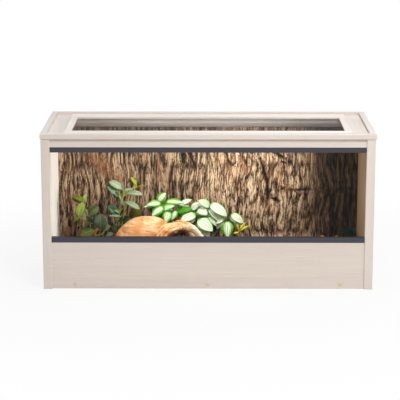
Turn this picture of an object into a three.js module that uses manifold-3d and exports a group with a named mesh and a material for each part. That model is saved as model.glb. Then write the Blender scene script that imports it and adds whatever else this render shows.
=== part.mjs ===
// Terrarium cabinet: a low, wide wooden vivarium with sliding glass doors and a lift-out mesh lid.
// Units are millimetres. +X is to the right, the front faces -Y, +Z is up.
// The origin is at the middle of the footprint, on the surface the cabinet stands on.
import * as THREE from "three";
import { mergeVertices } from "three/addons/utils/BufferGeometryUtils.js";
import Module from "manifold-3d";

const wasm = await Module();
wasm.setup();

// ---------------------------------------------------------------- driving dimensions
// carcass
const cabinetWidth = 1000;
const cabinetDepth = 400;
const cabinetHeight = 480;
const boardThickness = 16;
const edgeEase = 0.8;
const fineEase = 0.5;
const stileEase = 1.5;
const fitGap = 0.3;

// floor of the cabinet and its back
const baseLift = 8;
const backPanelThickness = 8;
const backPanelInset = 4;
const backGrooveDepth = 4;

// front frame
const stileWidth = 26;
const stileDepth = 20;
const frontRecess = 5;
const lowerPanelLift = 1;
const lowerPanelTop = 145;
const upperRailHeight = 26;

// glass tracks, set edge to edge with the lower panel and the upper rail
const trackHeight = 16;
const trackOuterWall = 2.2;
const trackMiddleWall = 1.6;
const trackGroove = 5;
const lowerGrooveDepth = 5;
const upperGrooveDepth = 13;
const finWidth = 2;
const finDepth = 7;

// sliding glass doors
const glassThickness = 4;
const glassArris = 0.6;
const glassOverlap = 30;
const glassEndGap = 2;
const glassLift = 0.3;
const glassTopEngagement = 6;

// rim round the top, the deck inside it and the mesh lid
const rimHeight = 15;
const rimOverhang = 2.5;
const rimRound = 2.5;
const deckThickness = 12;
const deckRecess = 8;
const deckSideWidth = 62;
const deckFrontWidth = 29;
const deckBackWidth = 86;
const lidSideSeat = 11;
const lidBackSeat = 52;
const lidSideMember = 21;
const lidFrontMember = 37;
const lidBackMember = 59;
const lidClearance = 0.5;
const meshRebate = 8;
const meshThickness = 1.5;
const meshRebateDepth = 2.5;
const wireWidth = 2;
const meshColumns = 20;
const meshRows = 6;

// rail across the back, under the deck
const backRailHeight = 25;

// screws
const screwShank = 2;
const screwHead = 4;
const screwHeadHeight = 3;
const screwLength = 40;
const frontScrewInset = 97;
const sideScrewInset = 60;
const counterbore = 5;
const counterboreDepth = 7;
const coverRadius = 6.5;
const coverHeight = 1.8;
const coverPlugDepth = 3;
const railScrewHead = 4;
const railScrewHeadHeight = 1.6;
const railScrewLength = 9;
const roundFaces = 12;

// bark background
const barkThickness = 18;
const barkRelief = 10;
const barkColumns = 50;
const barkRows = 10;
const barkQuietHeight = 50;

// substrate and what stands in it
const substrateDepth = 38;
const substrateMound = 7;
const pocketDepth = 6;
const pocketClearance = 1;
const barkFootMargin = 6;
const leafThickness = 1.6;
const leafFold = 0.18;
const leafArch = 0.08;
const petioleRadius = 1.3;
const stemRadius = 2;
const crownRadius = 8;
const crownTaper = 0.7;
const crownProud = 3;
const crownFaces = 10;

// ---------------------------------------------------------------- places worked out from them
const halfWidth = cabinetWidth / 2;
const frontFace = -cabinetDepth / 2;
const backFace = cabinetDepth / 2;
const sideInner = halfWidth - boardThickness;
const stileInner = halfWidth - stileWidth;
const stileBack = frontFace + stileDepth;
const panelFront = frontFace + frontRecess;
const panelBack = panelFront + boardThickness;
const carcassTop = cabinetHeight - rimHeight;
const deckTop = cabinetHeight - deckRecess;
const deckBottom = deckTop - deckThickness;
const upperRailBottom = carcassTop - upperRailHeight;
const upperTrackBottom = upperRailBottom - trackHeight;
const lowerTrackTop = lowerPanelTop + trackHeight;
const baseTop = baseLift + boardThickness;
const screwLevel = baseLift + boardThickness / 2;
const backPanelRear = backFace - backPanelInset;
const backPanelFront = backPanelRear - backPanelThickness;
const backRailFront = backPanelFront - boardThickness;
const rimBackInner = backFace - boardThickness;
const barkFront = backPanelFront - barkThickness;
const bedTop = baseTop + substrateDepth;
const moundTop = bedTop + substrateMound;
const pocketFloor = bedTop - pocketDepth;
const deckOpening = {
  left: -sideInner + deckSideWidth,
  right: sideInner - deckSideWidth,
  front: panelBack + deckFrontWidth,
  back: rimBackInner - deckBackWidth,
};
const lid = {
  left: deckOpening.left - lidSideSeat,
  right: deckOpening.right + lidSideSeat,
  front: panelBack + lidClearance,
  back: deckOpening.back + lidBackSeat,
};
const lidOpening = {
  left: lid.left + lidSideMember,
  right: lid.right - lidSideMember,
  front: lid.front + lidFrontMember,
  back: lid.back - lidBackMember,
};
const trackDepth = 2 * trackOuterWall + trackMiddleWall + 2 * trackGroove;
const frontGroove = panelFront + trackOuterWall;
const rearGroove = frontGroove + trackGroove + trackMiddleWall;
const glassWidth = (2 * stileInner + glassOverlap) / 2 - glassEndGap;

// ---------------------------------------------------------------- finishes
function finish(color, roughness, metalness = 0) {
  return new THREE.MeshStandardMaterial({ color, roughness, metalness });
}
const paleWood = finish(0xdccfc3, 0.6);
const trackPlastic = finish(0x46454e, 0.45);
const clearGlass = finish(0xe6f0ee, 0.05);
const meshWire = finish(0x2e2c2e, 0.5, 0.4);
const coverPlastic = finish(0xd3bf9f, 0.5);
const screwSteel = finish(0x8d8c88, 0.35, 0.9);
const barkBrown = finish(0x93704e, 0.95);
const substrateBrown = finish(0x4a3424, 0.95);
const sandstone = finish(0xd79a62, 0.75);
const driftwoodTan = finish(0xc9823f, 0.8);
const broadLeaf = finish(0x6f8a4c, 0.5);
const greyLeaf = finish(0x8ea894, 0.55);
const stripedLeaf = finish(0x9fc97e, 0.45);
const darkLeaf = finish(0x28381c, 0.5);
const yellowShoot = finish(0xd6c13a, 0.5);

// ---------------------------------------------------------------- solids
function solidOf(geometry) {
  const bare = geometry.clone();
  bare.deleteAttribute("normal");
  bare.deleteAttribute("uv");
  const merged = mergeVertices(bare, 1e-4);
  return new wasm.Manifold(new wasm.Mesh({
    numProp: 3,
    vertProperties: new Float32Array(merged.attributes.position.array),
    triVerts: new Uint32Array(merged.index.array),
  }));
}

function geometryOf(solid) {
  const mesh = solid.getMesh();
  const geometry = new THREE.BufferGeometry();
  geometry.setAttribute("position", new THREE.BufferAttribute(new Float32Array(mesh.vertProperties), 3));
  geometry.setIndex(new THREE.BufferAttribute(new Uint32Array(mesh.triVerts), 1));
  return geometry;
}

function joined(geometries) {
  return geometryOf(geometries.map(solidOf).reduce((whole, next) => whole.add(next)));
}

function cutFrom(geometry, cutters) {
  const whole = solidOf(geometry);
  return geometryOf(cutters.map(solidOf).reduce((left, cutter) => left.subtract(cutter), whole));
}

function box(x, y, z) {
  const geometry = new THREE.BoxGeometry(x[1] - x[0], y[1] - y[0], z[1] - z[0]);
  return geometry.translate((x[0] + x[1]) / 2, (y[0] + y[1]) / 2, (z[0] + z[1]) / 2);
}

const unitX = new THREE.Vector3(1, 0, 0);
const unitY = new THREE.Vector3(0, 1, 0);
const unitZ = new THREE.Vector3(0, 0, 1);

// A section carried straight along one axis. The section's points are [y, z] along x,
// [x, z] along y and [x, y] along z.
function extrudeAlong(axis, section, span, holes = []) {
  const flip = axis === "y";
  const point = ([a, b]) => (flip ? new THREE.Vector2(b, a) : new THREE.Vector2(a, b));
  const shape = new THREE.Shape(section.map(point));
  shape.holes = holes.map((hole) => new THREE.Path(hole.map(point)));
  const geometry = new THREE.ExtrudeGeometry(shape, { depth: span[1] - span[0], bevelEnabled: false });
  geometry.translate(0, 0, span[0]);
  const basis = {
    x: [unitY, unitZ, unitX],
    y: [unitZ, unitX, unitY],
    z: [unitX, unitY, unitZ],
  }[axis];
  return geometry.applyMatrix4(new THREE.Matrix4().makeBasis(...basis));
}

// A rectangle whose four corners are eased by a small chamfer.
function easedRectangle([a0, a1], [b0, b1], ease = edgeEase) {
  return [
    [a0 + ease, b0],
    [a1 - ease, b0],
    [a1, b0 + ease],
    [a1, b1 - ease],
    [a1 - ease, b1],
    [a0 + ease, b1],
    [a0, b1 - ease],
    [a0, b0 + ease],
  ];
}

// ---------------------------------------------------------------- carcass boards
function baseBoard() {
  const board = box([-sideInner, sideInner], [panelBack, backPanelFront], [baseLift, baseTop]);
  return cutFrom(board, Object.values(screwPlaces).map(pilotHole));
}

// Side panel with the upright groove that holds the back panel.
function sidePanel(side) {
  const outer = halfWidth;
  const inner = sideInner;
  const grooveFloor = inner + backGrooveDepth + fitGap;
  const grooveFront = backPanelFront - fitGap;
  const grooveBack = backPanelRear + fitGap;
  const section = [
    [inner, stileBack],
    [outer, stileBack],
    [outer, backFace - edgeEase],
    [outer - edgeEase, backFace],
    [inner + edgeEase, backFace],
    [inner, backFace - edgeEase],
    [inner, grooveBack],
    [grooveFloor, grooveBack],
    [grooveFloor, grooveFront],
    [inner, grooveFront],
  ].map(([x, y]) => [side * x, y]);
  const panel = extrudeAlong("z", section, [0, carcassTop]);
  const screws = Object.values(screwPlaces).filter((place) => place.x === side * halfWidth);
  return cutFrom(panel, screws.flatMap((place) => [pilotHole(place), screwRecess(place)]));
}

function backPanel() {
  const reach = sideInner + backGrooveDepth;
  return box([-reach, reach], [backPanelFront, backPanelRear], [baseLift, carcassTop]);
}

function backRail() {
  const across = [backRailFront, backPanelFront];
  const section = easedRectangle(across, [deckBottom - backRailHeight, deckBottom], fineEase);
  const rail = extrudeAlong("x", section, [-sideInner, sideInner]);
  const radius = screwShank + fitGap;
  const bore = new THREE.CylinderGeometry(radius, radius, 2 * (railScrewLength + fitGap), roundFaces);
  bore.translate(0, backRailFront, deckBottom - backRailHeight / 2);
  return cutFrom(rail, [bore]);
}

// Pan-head screw through the middle of the back rail, head towards the front.
function backRailScrew() {
  const seat = backRailFront;
  const profile = [
    [0, seat - railScrewHeadHeight],
    [railScrewHead * 0.7, seat - railScrewHeadHeight],
    [railScrewHead, seat - railScrewHeadHeight * 0.4],
    [railScrewHead, seat],
    [screwShank, seat],
    [screwShank, seat + railScrewLength - screwShank],
    [0, seat + railScrewLength],
  ];
  return turnedPiece(profile, { x: 0, y: 0, z: deckBottom - backRailHeight / 2, turn: 0 });
}

function frontStile(side) {
  const corners = easedRectangle([stileInner, halfWidth], [frontFace, stileBack], stileEase);
  const section = corners.map(([x, y]) => [side * x, y]);
  return extrudeAlong("z", section, [0, carcassTop]);
}

// Board with a kerf along one edge, in which the barbed fin of a glass track sits.
function kerfedBoard(bottom, top, kerfAtTop) {
  const middle = (panelFront + panelBack) / 2;
  const kerf = [middle - finWidth / 2 - fitGap, middle + finWidth / 2 + fitGap];
  const depth = finDepth + fitGap;
  const front = panelFront;
  const back = panelBack;
  const ease = edgeEase;
  const section = kerfAtTop
    ? [[front + ease, bottom], [back - ease, bottom], [back, bottom + ease], [back, top],
      [kerf[1], top], [kerf[1], top - depth], [kerf[0], top - depth], [kerf[0], top],
      [front, top], [front, bottom + ease]]
    : [[front, bottom], [kerf[0], bottom], [kerf[0], bottom + depth], [kerf[1], bottom + depth],
      [kerf[1], bottom], [back, bottom], [back, top], [front, top]];
  return extrudeAlong("x", section, [-stileInner, stileInner]);
}

function frontUpperRail() {
  return kerfedBoard(upperRailBottom, carcassTop, false);
}

function frontLowerPanel() {
  const screws = Object.values(screwPlaces).filter((place) => place.y === panelFront);
  const holes = screws.flatMap((place) => [pilotHole(place), screwRecess(place)]);
  return cutFrom(kerfedBoard(lowerPanelLift, lowerPanelTop, true), holes);
}

// ---------------------------------------------------------------- screws and their covers
// Where each screw enters a board: a point on the board's outer face and the turn about +Z
// that brings +Y into the board.
const screwPlaces = {
  front_left: { x: frontScrewInset - halfWidth, y: panelFront, z: screwLevel, turn: 0 },
  front_middle: { x: 0, y: panelFront, z: screwLevel, turn: 0 },
  front_right: { x: halfWidth - frontScrewInset, y: panelFront, z: screwLevel, turn: 0 },
  left_front: { x: -halfWidth, y: panelBack + sideScrewInset, z: screwLevel, turn: -Math.PI / 2 },
  left_back: { x: -halfWidth, y: backPanelFront - sideScrewInset, z: screwLevel, turn: -Math.PI / 2 },
  right_front: { x: halfWidth, y: panelBack + sideScrewInset, z: screwLevel, turn: Math.PI / 2 },
  right_back: { x: halfWidth, y: backPanelFront - sideScrewInset, z: screwLevel, turn: Math.PI / 2 },
};

function placed(geometry, place) {
  return geometry.rotateZ(place.turn).translate(place.x, place.y, place.z);
}

// Bore for a screw's shank, from outside the board to past the screw's tip.
function pilotHole(place) {
  const radius = screwShank + fitGap;
  const length = 2 * (screwLength + fitGap);
  return placed(new THREE.CylinderGeometry(radius, radius, length, roundFaces), place);
}

function screwRecess(place) {
  const length = 2 * counterboreDepth;
  return placed(new THREE.CylinderGeometry(counterbore, counterbore, length, roundFaces), place);
}

// A profile of [radius, depth] pairs turned about the line into the board at a place.
function turnedPiece(profile, place) {
  const points = profile.map(([radius, depth]) => new THREE.Vector2(radius, depth));
  return placed(new THREE.LatheGeometry(points, roundFaces), place);
}

function boardScrew(place) {
  const profile = [
    [0, counterboreDepth - screwHeadHeight],
    [screwHead, counterboreDepth - screwHeadHeight],
    [screwHead, counterboreDepth],
    [screwShank, counterboreDepth],
    [screwShank, screwLength - 2 * screwShank],
    [0, screwLength],
  ];
  return turnedPiece(profile, place);
}

function screwCover(place) {
  const plug = counterbore - fitGap;
  const profile = [
    [0, -coverHeight],
    [coverRadius * 0.6, -coverHeight * 0.88],
    [coverRadius * 0.9, -coverHeight * 0.5],
    [coverRadius, 0],
    [plug, 0],
    [plug, coverPlugDepth],
    [0, coverPlugDepth],
  ];
  return turnedPiece(profile, place);
}

// ---------------------------------------------------------------- glass tracks and doors
// Twin-groove track: front wall, groove, middle wall, groove, rear wall and a fin on its foot.
// `foot` is the level of the face that meets the board and `up` is +1 or -1 towards the glass.
function trackSection(foot, up, grooveDepth) {
  const middle = (panelFront + panelBack) / 2;
  const rear = panelFront + trackDepth;
  const rim = foot + up * trackHeight;
  const floor = rim - up * grooveDepth;
  const lip = fineEase;
  const finTip = foot - up * finDepth;
  return [
    [panelFront, foot],
    [panelFront, rim - up * lip],
    [panelFront + lip, rim],
    [frontGroove, rim],
    [frontGroove, floor],
    [frontGroove + trackGroove, floor],
    [frontGroove + trackGroove, rim],
    [rearGroove, rim],
    [rearGroove, floor],
    [rearGroove + trackGroove, floor],
    [rearGroove + trackGroove, rim],
    [rear, rim],
    [rear, foot],
    [middle + finWidth / 2, foot],
    [middle + finWidth / 2, finTip + up * lip],
    [middle, finTip],
    [middle - finWidth / 2, finTip + up * lip],
    [middle - finWidth / 2, foot],
  ];
}

function lowerTrack() {
  return extrudeAlong("x", trackSection(lowerPanelTop, 1, lowerGrooveDepth), [-stileInner, stileInner]);
}

function upperTrack() {
  return extrudeAlong("x", trackSection(upperRailBottom, -1, upperGrooveDepth), [-stileInner, stileInner]);
}

// A sheet of glass with lightly arrised edges, standing in one groove of both tracks.
function glassDoor(left, groove) {
  const slack = (trackGroove - glassThickness) / 2;
  const section = easedRectangle(
    [groove + slack, groove + slack + glassThickness],
    [lowerTrackTop - lowerGrooveDepth + glassLift, upperTrackBottom + glassTopEngagement],
    glassArris,
  );
  return extrudeAlong("x", section, [left, left + glassWidth]);
}

// ---------------------------------------------------------------- rim and deck
// Rim section with its outer top corner rounded; `outer` and `inner` are places across the rim.
function rimSection(outer, inner) {
  const out = Math.sign(outer - inner);
  const steps = 4;
  const section = [[inner, carcassTop], [outer, carcassTop]];
  for (let i = 0; i <= steps; i++) {
    const angle = (i / steps) * Math.PI / 2;
    section.push([
      outer - out * rimRound * (1 - Math.cos(angle)),
      cabinetHeight - rimRound * (1 - Math.sin(angle)),
    ]);
  }
  section.push([inner, cabinetHeight]);
  return section;
}

// A rim across the whole width, its two top ends rounded as its long outer edge is.
function crossRim(outer, inner) {
  const end = halfWidth + rimOverhang;
  const long = extrudeAlong("x", rimSection(outer, inner), [-end, end]);
  const right = rimSection(end, 0);
  const left = rimSection(-end, 0).reverse();
  const across = [Math.min(outer, inner) - 1, Math.max(outer, inner) + 1];
  const ends = extrudeAlong("y", [...right.slice(0, -1), ...left.slice(1)], across);
  return geometryOf(solidOf(long).intersect(solidOf(ends)));
}

function sideRim(side) {
  const outer = side * (halfWidth + rimOverhang);
  return extrudeAlong("y", rimSection(outer, side * sideInner), [panelBack, rimBackInner]);
}

function deckBoard(x, y) {
  return extrudeAlong("y", easedRectangle(x, [deckBottom, deckTop], fineEase), y);
}

// ---------------------------------------------------------------- mesh lid
// A member of the lid along `axis`, its top edges eased, with a rebate for the mesh cut under its
// inner edge over the stretch `rebated`.
function lidMember(axis, outer, inner, span, rebated) {
  const inward = Math.sign(inner - outer);
  const section = [
    [outer, deckTop],
    [inner, deckTop],
    [inner, cabinetHeight - edgeEase],
    [inner - inward * edgeEase, cabinetHeight],
    [outer + inward * edgeEase, cabinetHeight],
    [outer, cabinetHeight - edgeEase],
  ];
  const member = extrudeAlong(axis, section, span);
  const past = 1;
  const across = [inner - inward * (meshRebate + fitGap), inner + inward * past].sort((a, b) => a - b);
  const level = [deckTop - past, deckTop + meshRebateDepth];
  const rebate = axis === "x" ? box(rebated, across, level) : box(across, rebated, level);
  return cutFrom(member, [rebate]);
}

// The long members run the whole width, and their rebates stop at the side members' rebates.
function lidLongMember(outer, inner) {
  const reach = meshRebate + fitGap;
  const rebated = [lidOpening.left - reach, lidOpening.right + reach];
  return lidMember("x", outer, inner, [lid.left, lid.right], rebated);
}

// The side members stand between the long ones, and their rebates run right through.
function lidSideMemberPiece(outer, inner) {
  const span = [lidOpening.front, lidOpening.back];
  return lidMember("y", outer, inner, span, [span[0] - 1, span[1] + 1]);
}

// Edges of the bands and gaps across a net: border, gap, wire, gap ... border.
function netEdges(from, to, gaps) {
  const pitch = (to - from) / gaps;
  const edges = [from - meshRebate];
  for (let i = 0; i < gaps; i++) {
    edges.push(from + i * pitch + wireWidth / 2);
    edges.push(from + (i + 1) * pitch - wireWidth / 2);
  }
  edges.push(to + meshRebate);
  return edges;
}

// Flat wire mesh with a plain border, held in the rebate of the lid. A cell between the edges
// is wire where its column or its row is a band, and a gap where both are gaps.
function lidMesh() {
  const xs = netEdges(lidOpening.left, lidOpening.right, meshColumns);
  const ys = netEdges(lidOpening.front, lidOpening.back, meshRows);
  const top = deckTop + meshRebateDepth;
  const low = top - meshThickness;
  const inside = (i, j) => i >= 0 && j >= 0 && i < xs.length - 1 && j < ys.length - 1;
  const filled = (i, j) => inside(i, j) && (i % 2 === 0 || j % 2 === 0);
  const positions = [];
  const quad = (a, b, c, d) => positions.push(...a, ...b, ...c, ...a, ...c, ...d);
  for (let i = 0; i + 1 < xs.length; i++) {
    for (let j = 0; j + 1 < ys.length; j++) {
      if (!filled(i, j)) {
        continue;
      }
      const [x0, x1, y0, y1] = [xs[i], xs[i + 1], ys[j], ys[j + 1]];
      quad([x0, y0, top], [x1, y0, top], [x1, y1, top], [x0, y1, top]);
      quad([x0, y1, low], [x1, y1, low], [x1, y0, low], [x0, y0, low]);
      if (!filled(i, j - 1)) {
        quad([x0, y0, low], [x1, y0, low], [x1, y0, top], [x0, y0, top]);
      }
      if (!filled(i, j + 1)) {
        quad([x1, y1, low], [x0, y1, low], [x0, y1, top], [x1, y1, top]);
      }
      if (!filled(i - 1, j)) {
        quad([x0, y1, low], [x0, y0, low], [x0, y0, top], [x0, y1, top]);
      }
      if (!filled(i + 1, j)) {
        quad([x1, y0, low], [x1, y1, low], [x1, y1, top], [x1, y0, top]);
      }
    }
  }
  const geometry = new THREE.BufferGeometry();
  geometry.setAttribute("position", new THREE.Float32BufferAttribute(positions, 3));
  return mergeVertices(geometry, 1e-4);
}

// ---------------------------------------------------------------- bark background
// How far the bark stands out of its flat ground at (x, z): upright ridges that wander a little,
// crossed by slow waves, and one broad slanting ridge towards the left.
function barkHeight(x, z) {
  const wander = 9 * Math.sin(z / 47) + 5 * Math.sin(z / 19 + x / 60);
  const ridges = Math.abs(Math.sin((x + wander) / 17));
  const waves = 0.5 + 0.5 * Math.sin(x / 90 + Math.sin(z / 70) * 1.6);
  const slant = (x + 300 + (z - 350) * 0.75) / 26;
  const root = Math.exp(-slant * slant);
  return barkRelief * Math.min(1, 0.45 * ridges + 0.25 * waves + 0.45 * root);
}

function barkBackground() {
  const left = -sideInner + fitGap;
  const right = sideInner - fitGap;
  const bottom = baseTop;
  const top = deckBottom - backRailHeight - fitGap;
  const quietTop = moundTop + barkFootMargin;
  const columns = barkColumns;
  const rows = barkRows;
  const level = (j) => (j === 0 ? bottom : quietTop + ((top - quietTop) * (j - 1)) / (rows - 1));
  const positions = [];
  for (let j = 0; j <= rows; j++) {
    for (let i = 0; i <= columns; i++) {
      const x = left + ((right - left) * i) / columns;
      const z = level(j);
      const rise = Math.min(1, Math.max(0, (z - quietTop) / barkQuietHeight));
      positions.push(x, barkFront - rise * barkHeight(x, z), z);
    }
  }
  return backedSurface(positions, columns, rows, unitY, backPanelFront);
}

// Closes a grid of points into a solid by carrying its border back to a flat plane.
// The grid runs `columns` steps along its rows; `axis` is the direction of the plane.
function backedSurface(positions, columns, rows, axis, plane) {
  const index = [];
  const at = (i, j) => j * (columns + 1) + i;
  for (let j = 0; j < rows; j++) {
    for (let i = 0; i < columns; i++) {
      index.push(at(i, j), at(i + 1, j), at(i + 1, j + 1));
      index.push(at(i, j), at(i + 1, j + 1), at(i, j + 1));
    }
  }
  const border = [];
  for (let i = 0; i < columns; i++) {
    border.push(at(i, 0));
  }
  for (let j = 0; j < rows; j++) {
    border.push(at(columns, j));
  }
  for (let i = columns; i > 0; i--) {
    border.push(at(i, rows));
  }
  for (let j = rows; j > 0; j--) {
    border.push(at(0, j));
  }
  const first = positions.length / 3;
  const low = new THREE.Vector3();
  for (const corner of border) {
    low.fromArray(positions, 3 * corner);
    low.addScaledVector(axis, plane - low.dot(axis));
    positions.push(low.x, low.y, low.z);
  }
  const count = border.length;
  for (let k = 0; k < count; k++) {
    const next = (k + 1) % count;
    index.push(border[k], first + k, first + next);
    index.push(border[k], first + next, border[next]);
  }
  const middle = positions.length / 3;
  const corners = [at(0, 0), at(columns, rows)].map((n) => new THREE.Vector3().fromArray(positions, 3 * n));
  const centre = corners[0].add(corners[1]).multiplyScalar(0.5);
  centre.addScaledVector(axis, plane - centre.dot(axis));
  positions.push(centre.x, centre.y, centre.z);
  for (let k = 0; k < count; k++) {
    index.push(first + k, middle, first + ((k + 1) % count));
  }
  const geometry = new THREE.BufferGeometry();
  geometry.setAttribute("position", new THREE.Float32BufferAttribute(positions, 3));
  geometry.setIndex(index);
  return geometry;
}

// ---------------------------------------------------------------- substrate
// Level of the substrate at (x, y): low mounds that rise towards the back and the left.
function groundLevel(x, y) {
  const toBack = 0.5 + y / cabinetDepth;
  const waves = 0.5 + 0.25 * Math.sin(x / 61 + 1) + 0.25 * Math.sin(x / 37 + y / 41);
  return bedTop + substrateMound * toBack * waves;
}

function substrateBed(pockets) {
  const columns = 18;
  const rows = 6;
  const reach = sideInner - fitGap;
  const front = panelBack + fitGap;
  const back = barkFront - fitGap;
  const positions = [];
  for (let j = 0; j <= rows; j++) {
    for (let i = 0; i <= columns; i++) {
      const x = -reach + (2 * reach * i) / columns;
      const y = front + ((back - front) * j) / rows;
      positions.push(x, y, groundLevel(x, y));
    }
  }
  return cutFrom(backedSurface(positions, columns, rows, unitZ, baseTop), pockets);
}

// ---------------------------------------------------------------- stone and driftwood
// The stone, the driftwood and all plants but the one in the right corner keep their place from
// the left wall and the bark, and their heights are above the level bed.
const leftWall = -sideInner;
const rightWall = sideInner;
const stone = {
  x: leftWall + 271,
  y: barkFront - 124,
  halfLength: 96,
  halfDepth: 62,
  top: bedTop + 106,
  lean: 18,
  faces: 20,
};

// Smooth domed stone: stacked ovals, the crest leaning a little to the right.
function baskingStone() {
  const rings = 7;
  const profile = [];
  for (let j = 0; j <= rings; j++) {
    const angle = (j / rings) * (Math.PI / 2);
    profile.push([Math.cos(angle) ** 0.8, Math.sin(angle) ** 0.9]);
  }
  const sections = [ovalRing(1, pocketFloor, 0)];
  for (const [reach, rise] of profile.slice(0, -1)) {
    sections.push(ovalRing(reach, moundTop + (stone.top - moundTop) * rise, rise));
  }
  return loft(sections, [[stone.x, stone.y, pocketFloor], [stone.x + stone.lean, stone.y, stone.top]]);
}

function ovalRing(reach, level, rise) {
  const ring = [];
  for (let i = 0; i < stone.faces; i++) {
    const angle = (i / stone.faces) * 2 * Math.PI;
    const uneven = 1 + 0.03 * Math.sin(3 * angle + 1) * rise;
    ring.push([
      stone.x + stone.lean * rise + stone.halfLength * reach * uneven * Math.cos(angle),
      stone.y + stone.halfDepth * reach * uneven * Math.sin(angle),
      level,
    ]);
  }
  return ring;
}

// Skins a row of closed rings, each with as many points, and closes it with two end points.
function loft(rings, ends) {
  const count = rings[0].length;
  const positions = rings.flat(2);
  const index = [];
  for (let j = 0; j + 1 < rings.length; j++) {
    for (let i = 0; i < count; i++) {
      const next = (i + 1) % count;
      index.push(j * count + i, j * count + next, (j + 1) * count + next);
      index.push(j * count + i, (j + 1) * count + next, (j + 1) * count + i);
    }
  }
  const start = positions.length / 3;
  positions.push(...ends[0], ...ends[1]);
  const last = (rings.length - 1) * count;
  for (let i = 0; i < count; i++) {
    const next = (i + 1) % count;
    index.push(start, next, i);
    index.push(start + 1, last + i, last + next);
  }
  const geometry = new THREE.BufferGeometry();
  geometry.setAttribute("position", new THREE.Float32BufferAttribute(positions, 3));
  geometry.setIndex(index);
  return geometry;
}

// Middle line of the arched driftwood, from its left foot over the crest to its right foot, as
// the way right of its left foot, behind it and above the bed.
const driftwoodFoot = { x: leftWall + 330, y: barkFront - 214 };
const driftwoodLine = [
  [0, 0, -pocketDepth],
  [1, 1, 30],
  [20, 12, 69],
  [62, 32, 86],
  [104, 44, 70],
  [129, 50, 30],
  [133, 51, -pocketDepth],
].map(([x, y, z]) => [driftwoodFoot.x + x, driftwoodFoot.y + y, bedTop + z]);
const driftwoodRadii = [16, 17, 21, 23, 20, 18, 17];
const driftwoodFaces = 10;
const driftwoodKnots = 0.12;
const driftwoodPocket = 22;

// Knotty round branch: rings square to the middle line, their radius swelling and twisting.
function driftwoodArch() {
  const points = driftwoodLine.map((p) => new THREE.Vector3(...p));
  const line = new THREE.CatmullRomCurve3(points);
  const steps = 16;
  const rings = [];
  for (let j = 0; j <= steps; j++) {
    const t = j / steps;
    const centre = line.getPoint(t);
    const ahead = line.getTangent(t);
    if (j === 0) {
      ahead.set(0, 0, 1);
    }
    if (j === steps) {
      ahead.set(0, 0, -1);
    }
    const across = unitY.clone().addScaledVector(ahead, -unitY.dot(ahead)).normalize();
    const over = new THREE.Vector3().crossVectors(ahead, across);
    const place = t * (driftwoodRadii.length - 1);
    const low = Math.min(Math.floor(place), driftwoodRadii.length - 2);
    const radius = THREE.MathUtils.lerp(driftwoodRadii[low], driftwoodRadii[low + 1], place - low);
    const knots = Math.sin(Math.PI * t);
    const ring = [];
    for (let i = 0; i < driftwoodFaces; i++) {
      const angle = (i / driftwoodFaces) * 2 * Math.PI;
      const reach = radius * (1 + driftwoodKnots * knots * Math.sin(3 * angle + 7 * t));
      const p = centre.clone();
      p.addScaledVector(across, reach * Math.cos(angle));
      p.addScaledVector(over, reach * Math.sin(angle));
      ring.push([p.x, p.y, p.z]);
    }
    rings.push(ring);
  }
  return loft(rings, [driftwoodLine[0], driftwoodLine[driftwoodLine.length - 1]]);
}

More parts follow.
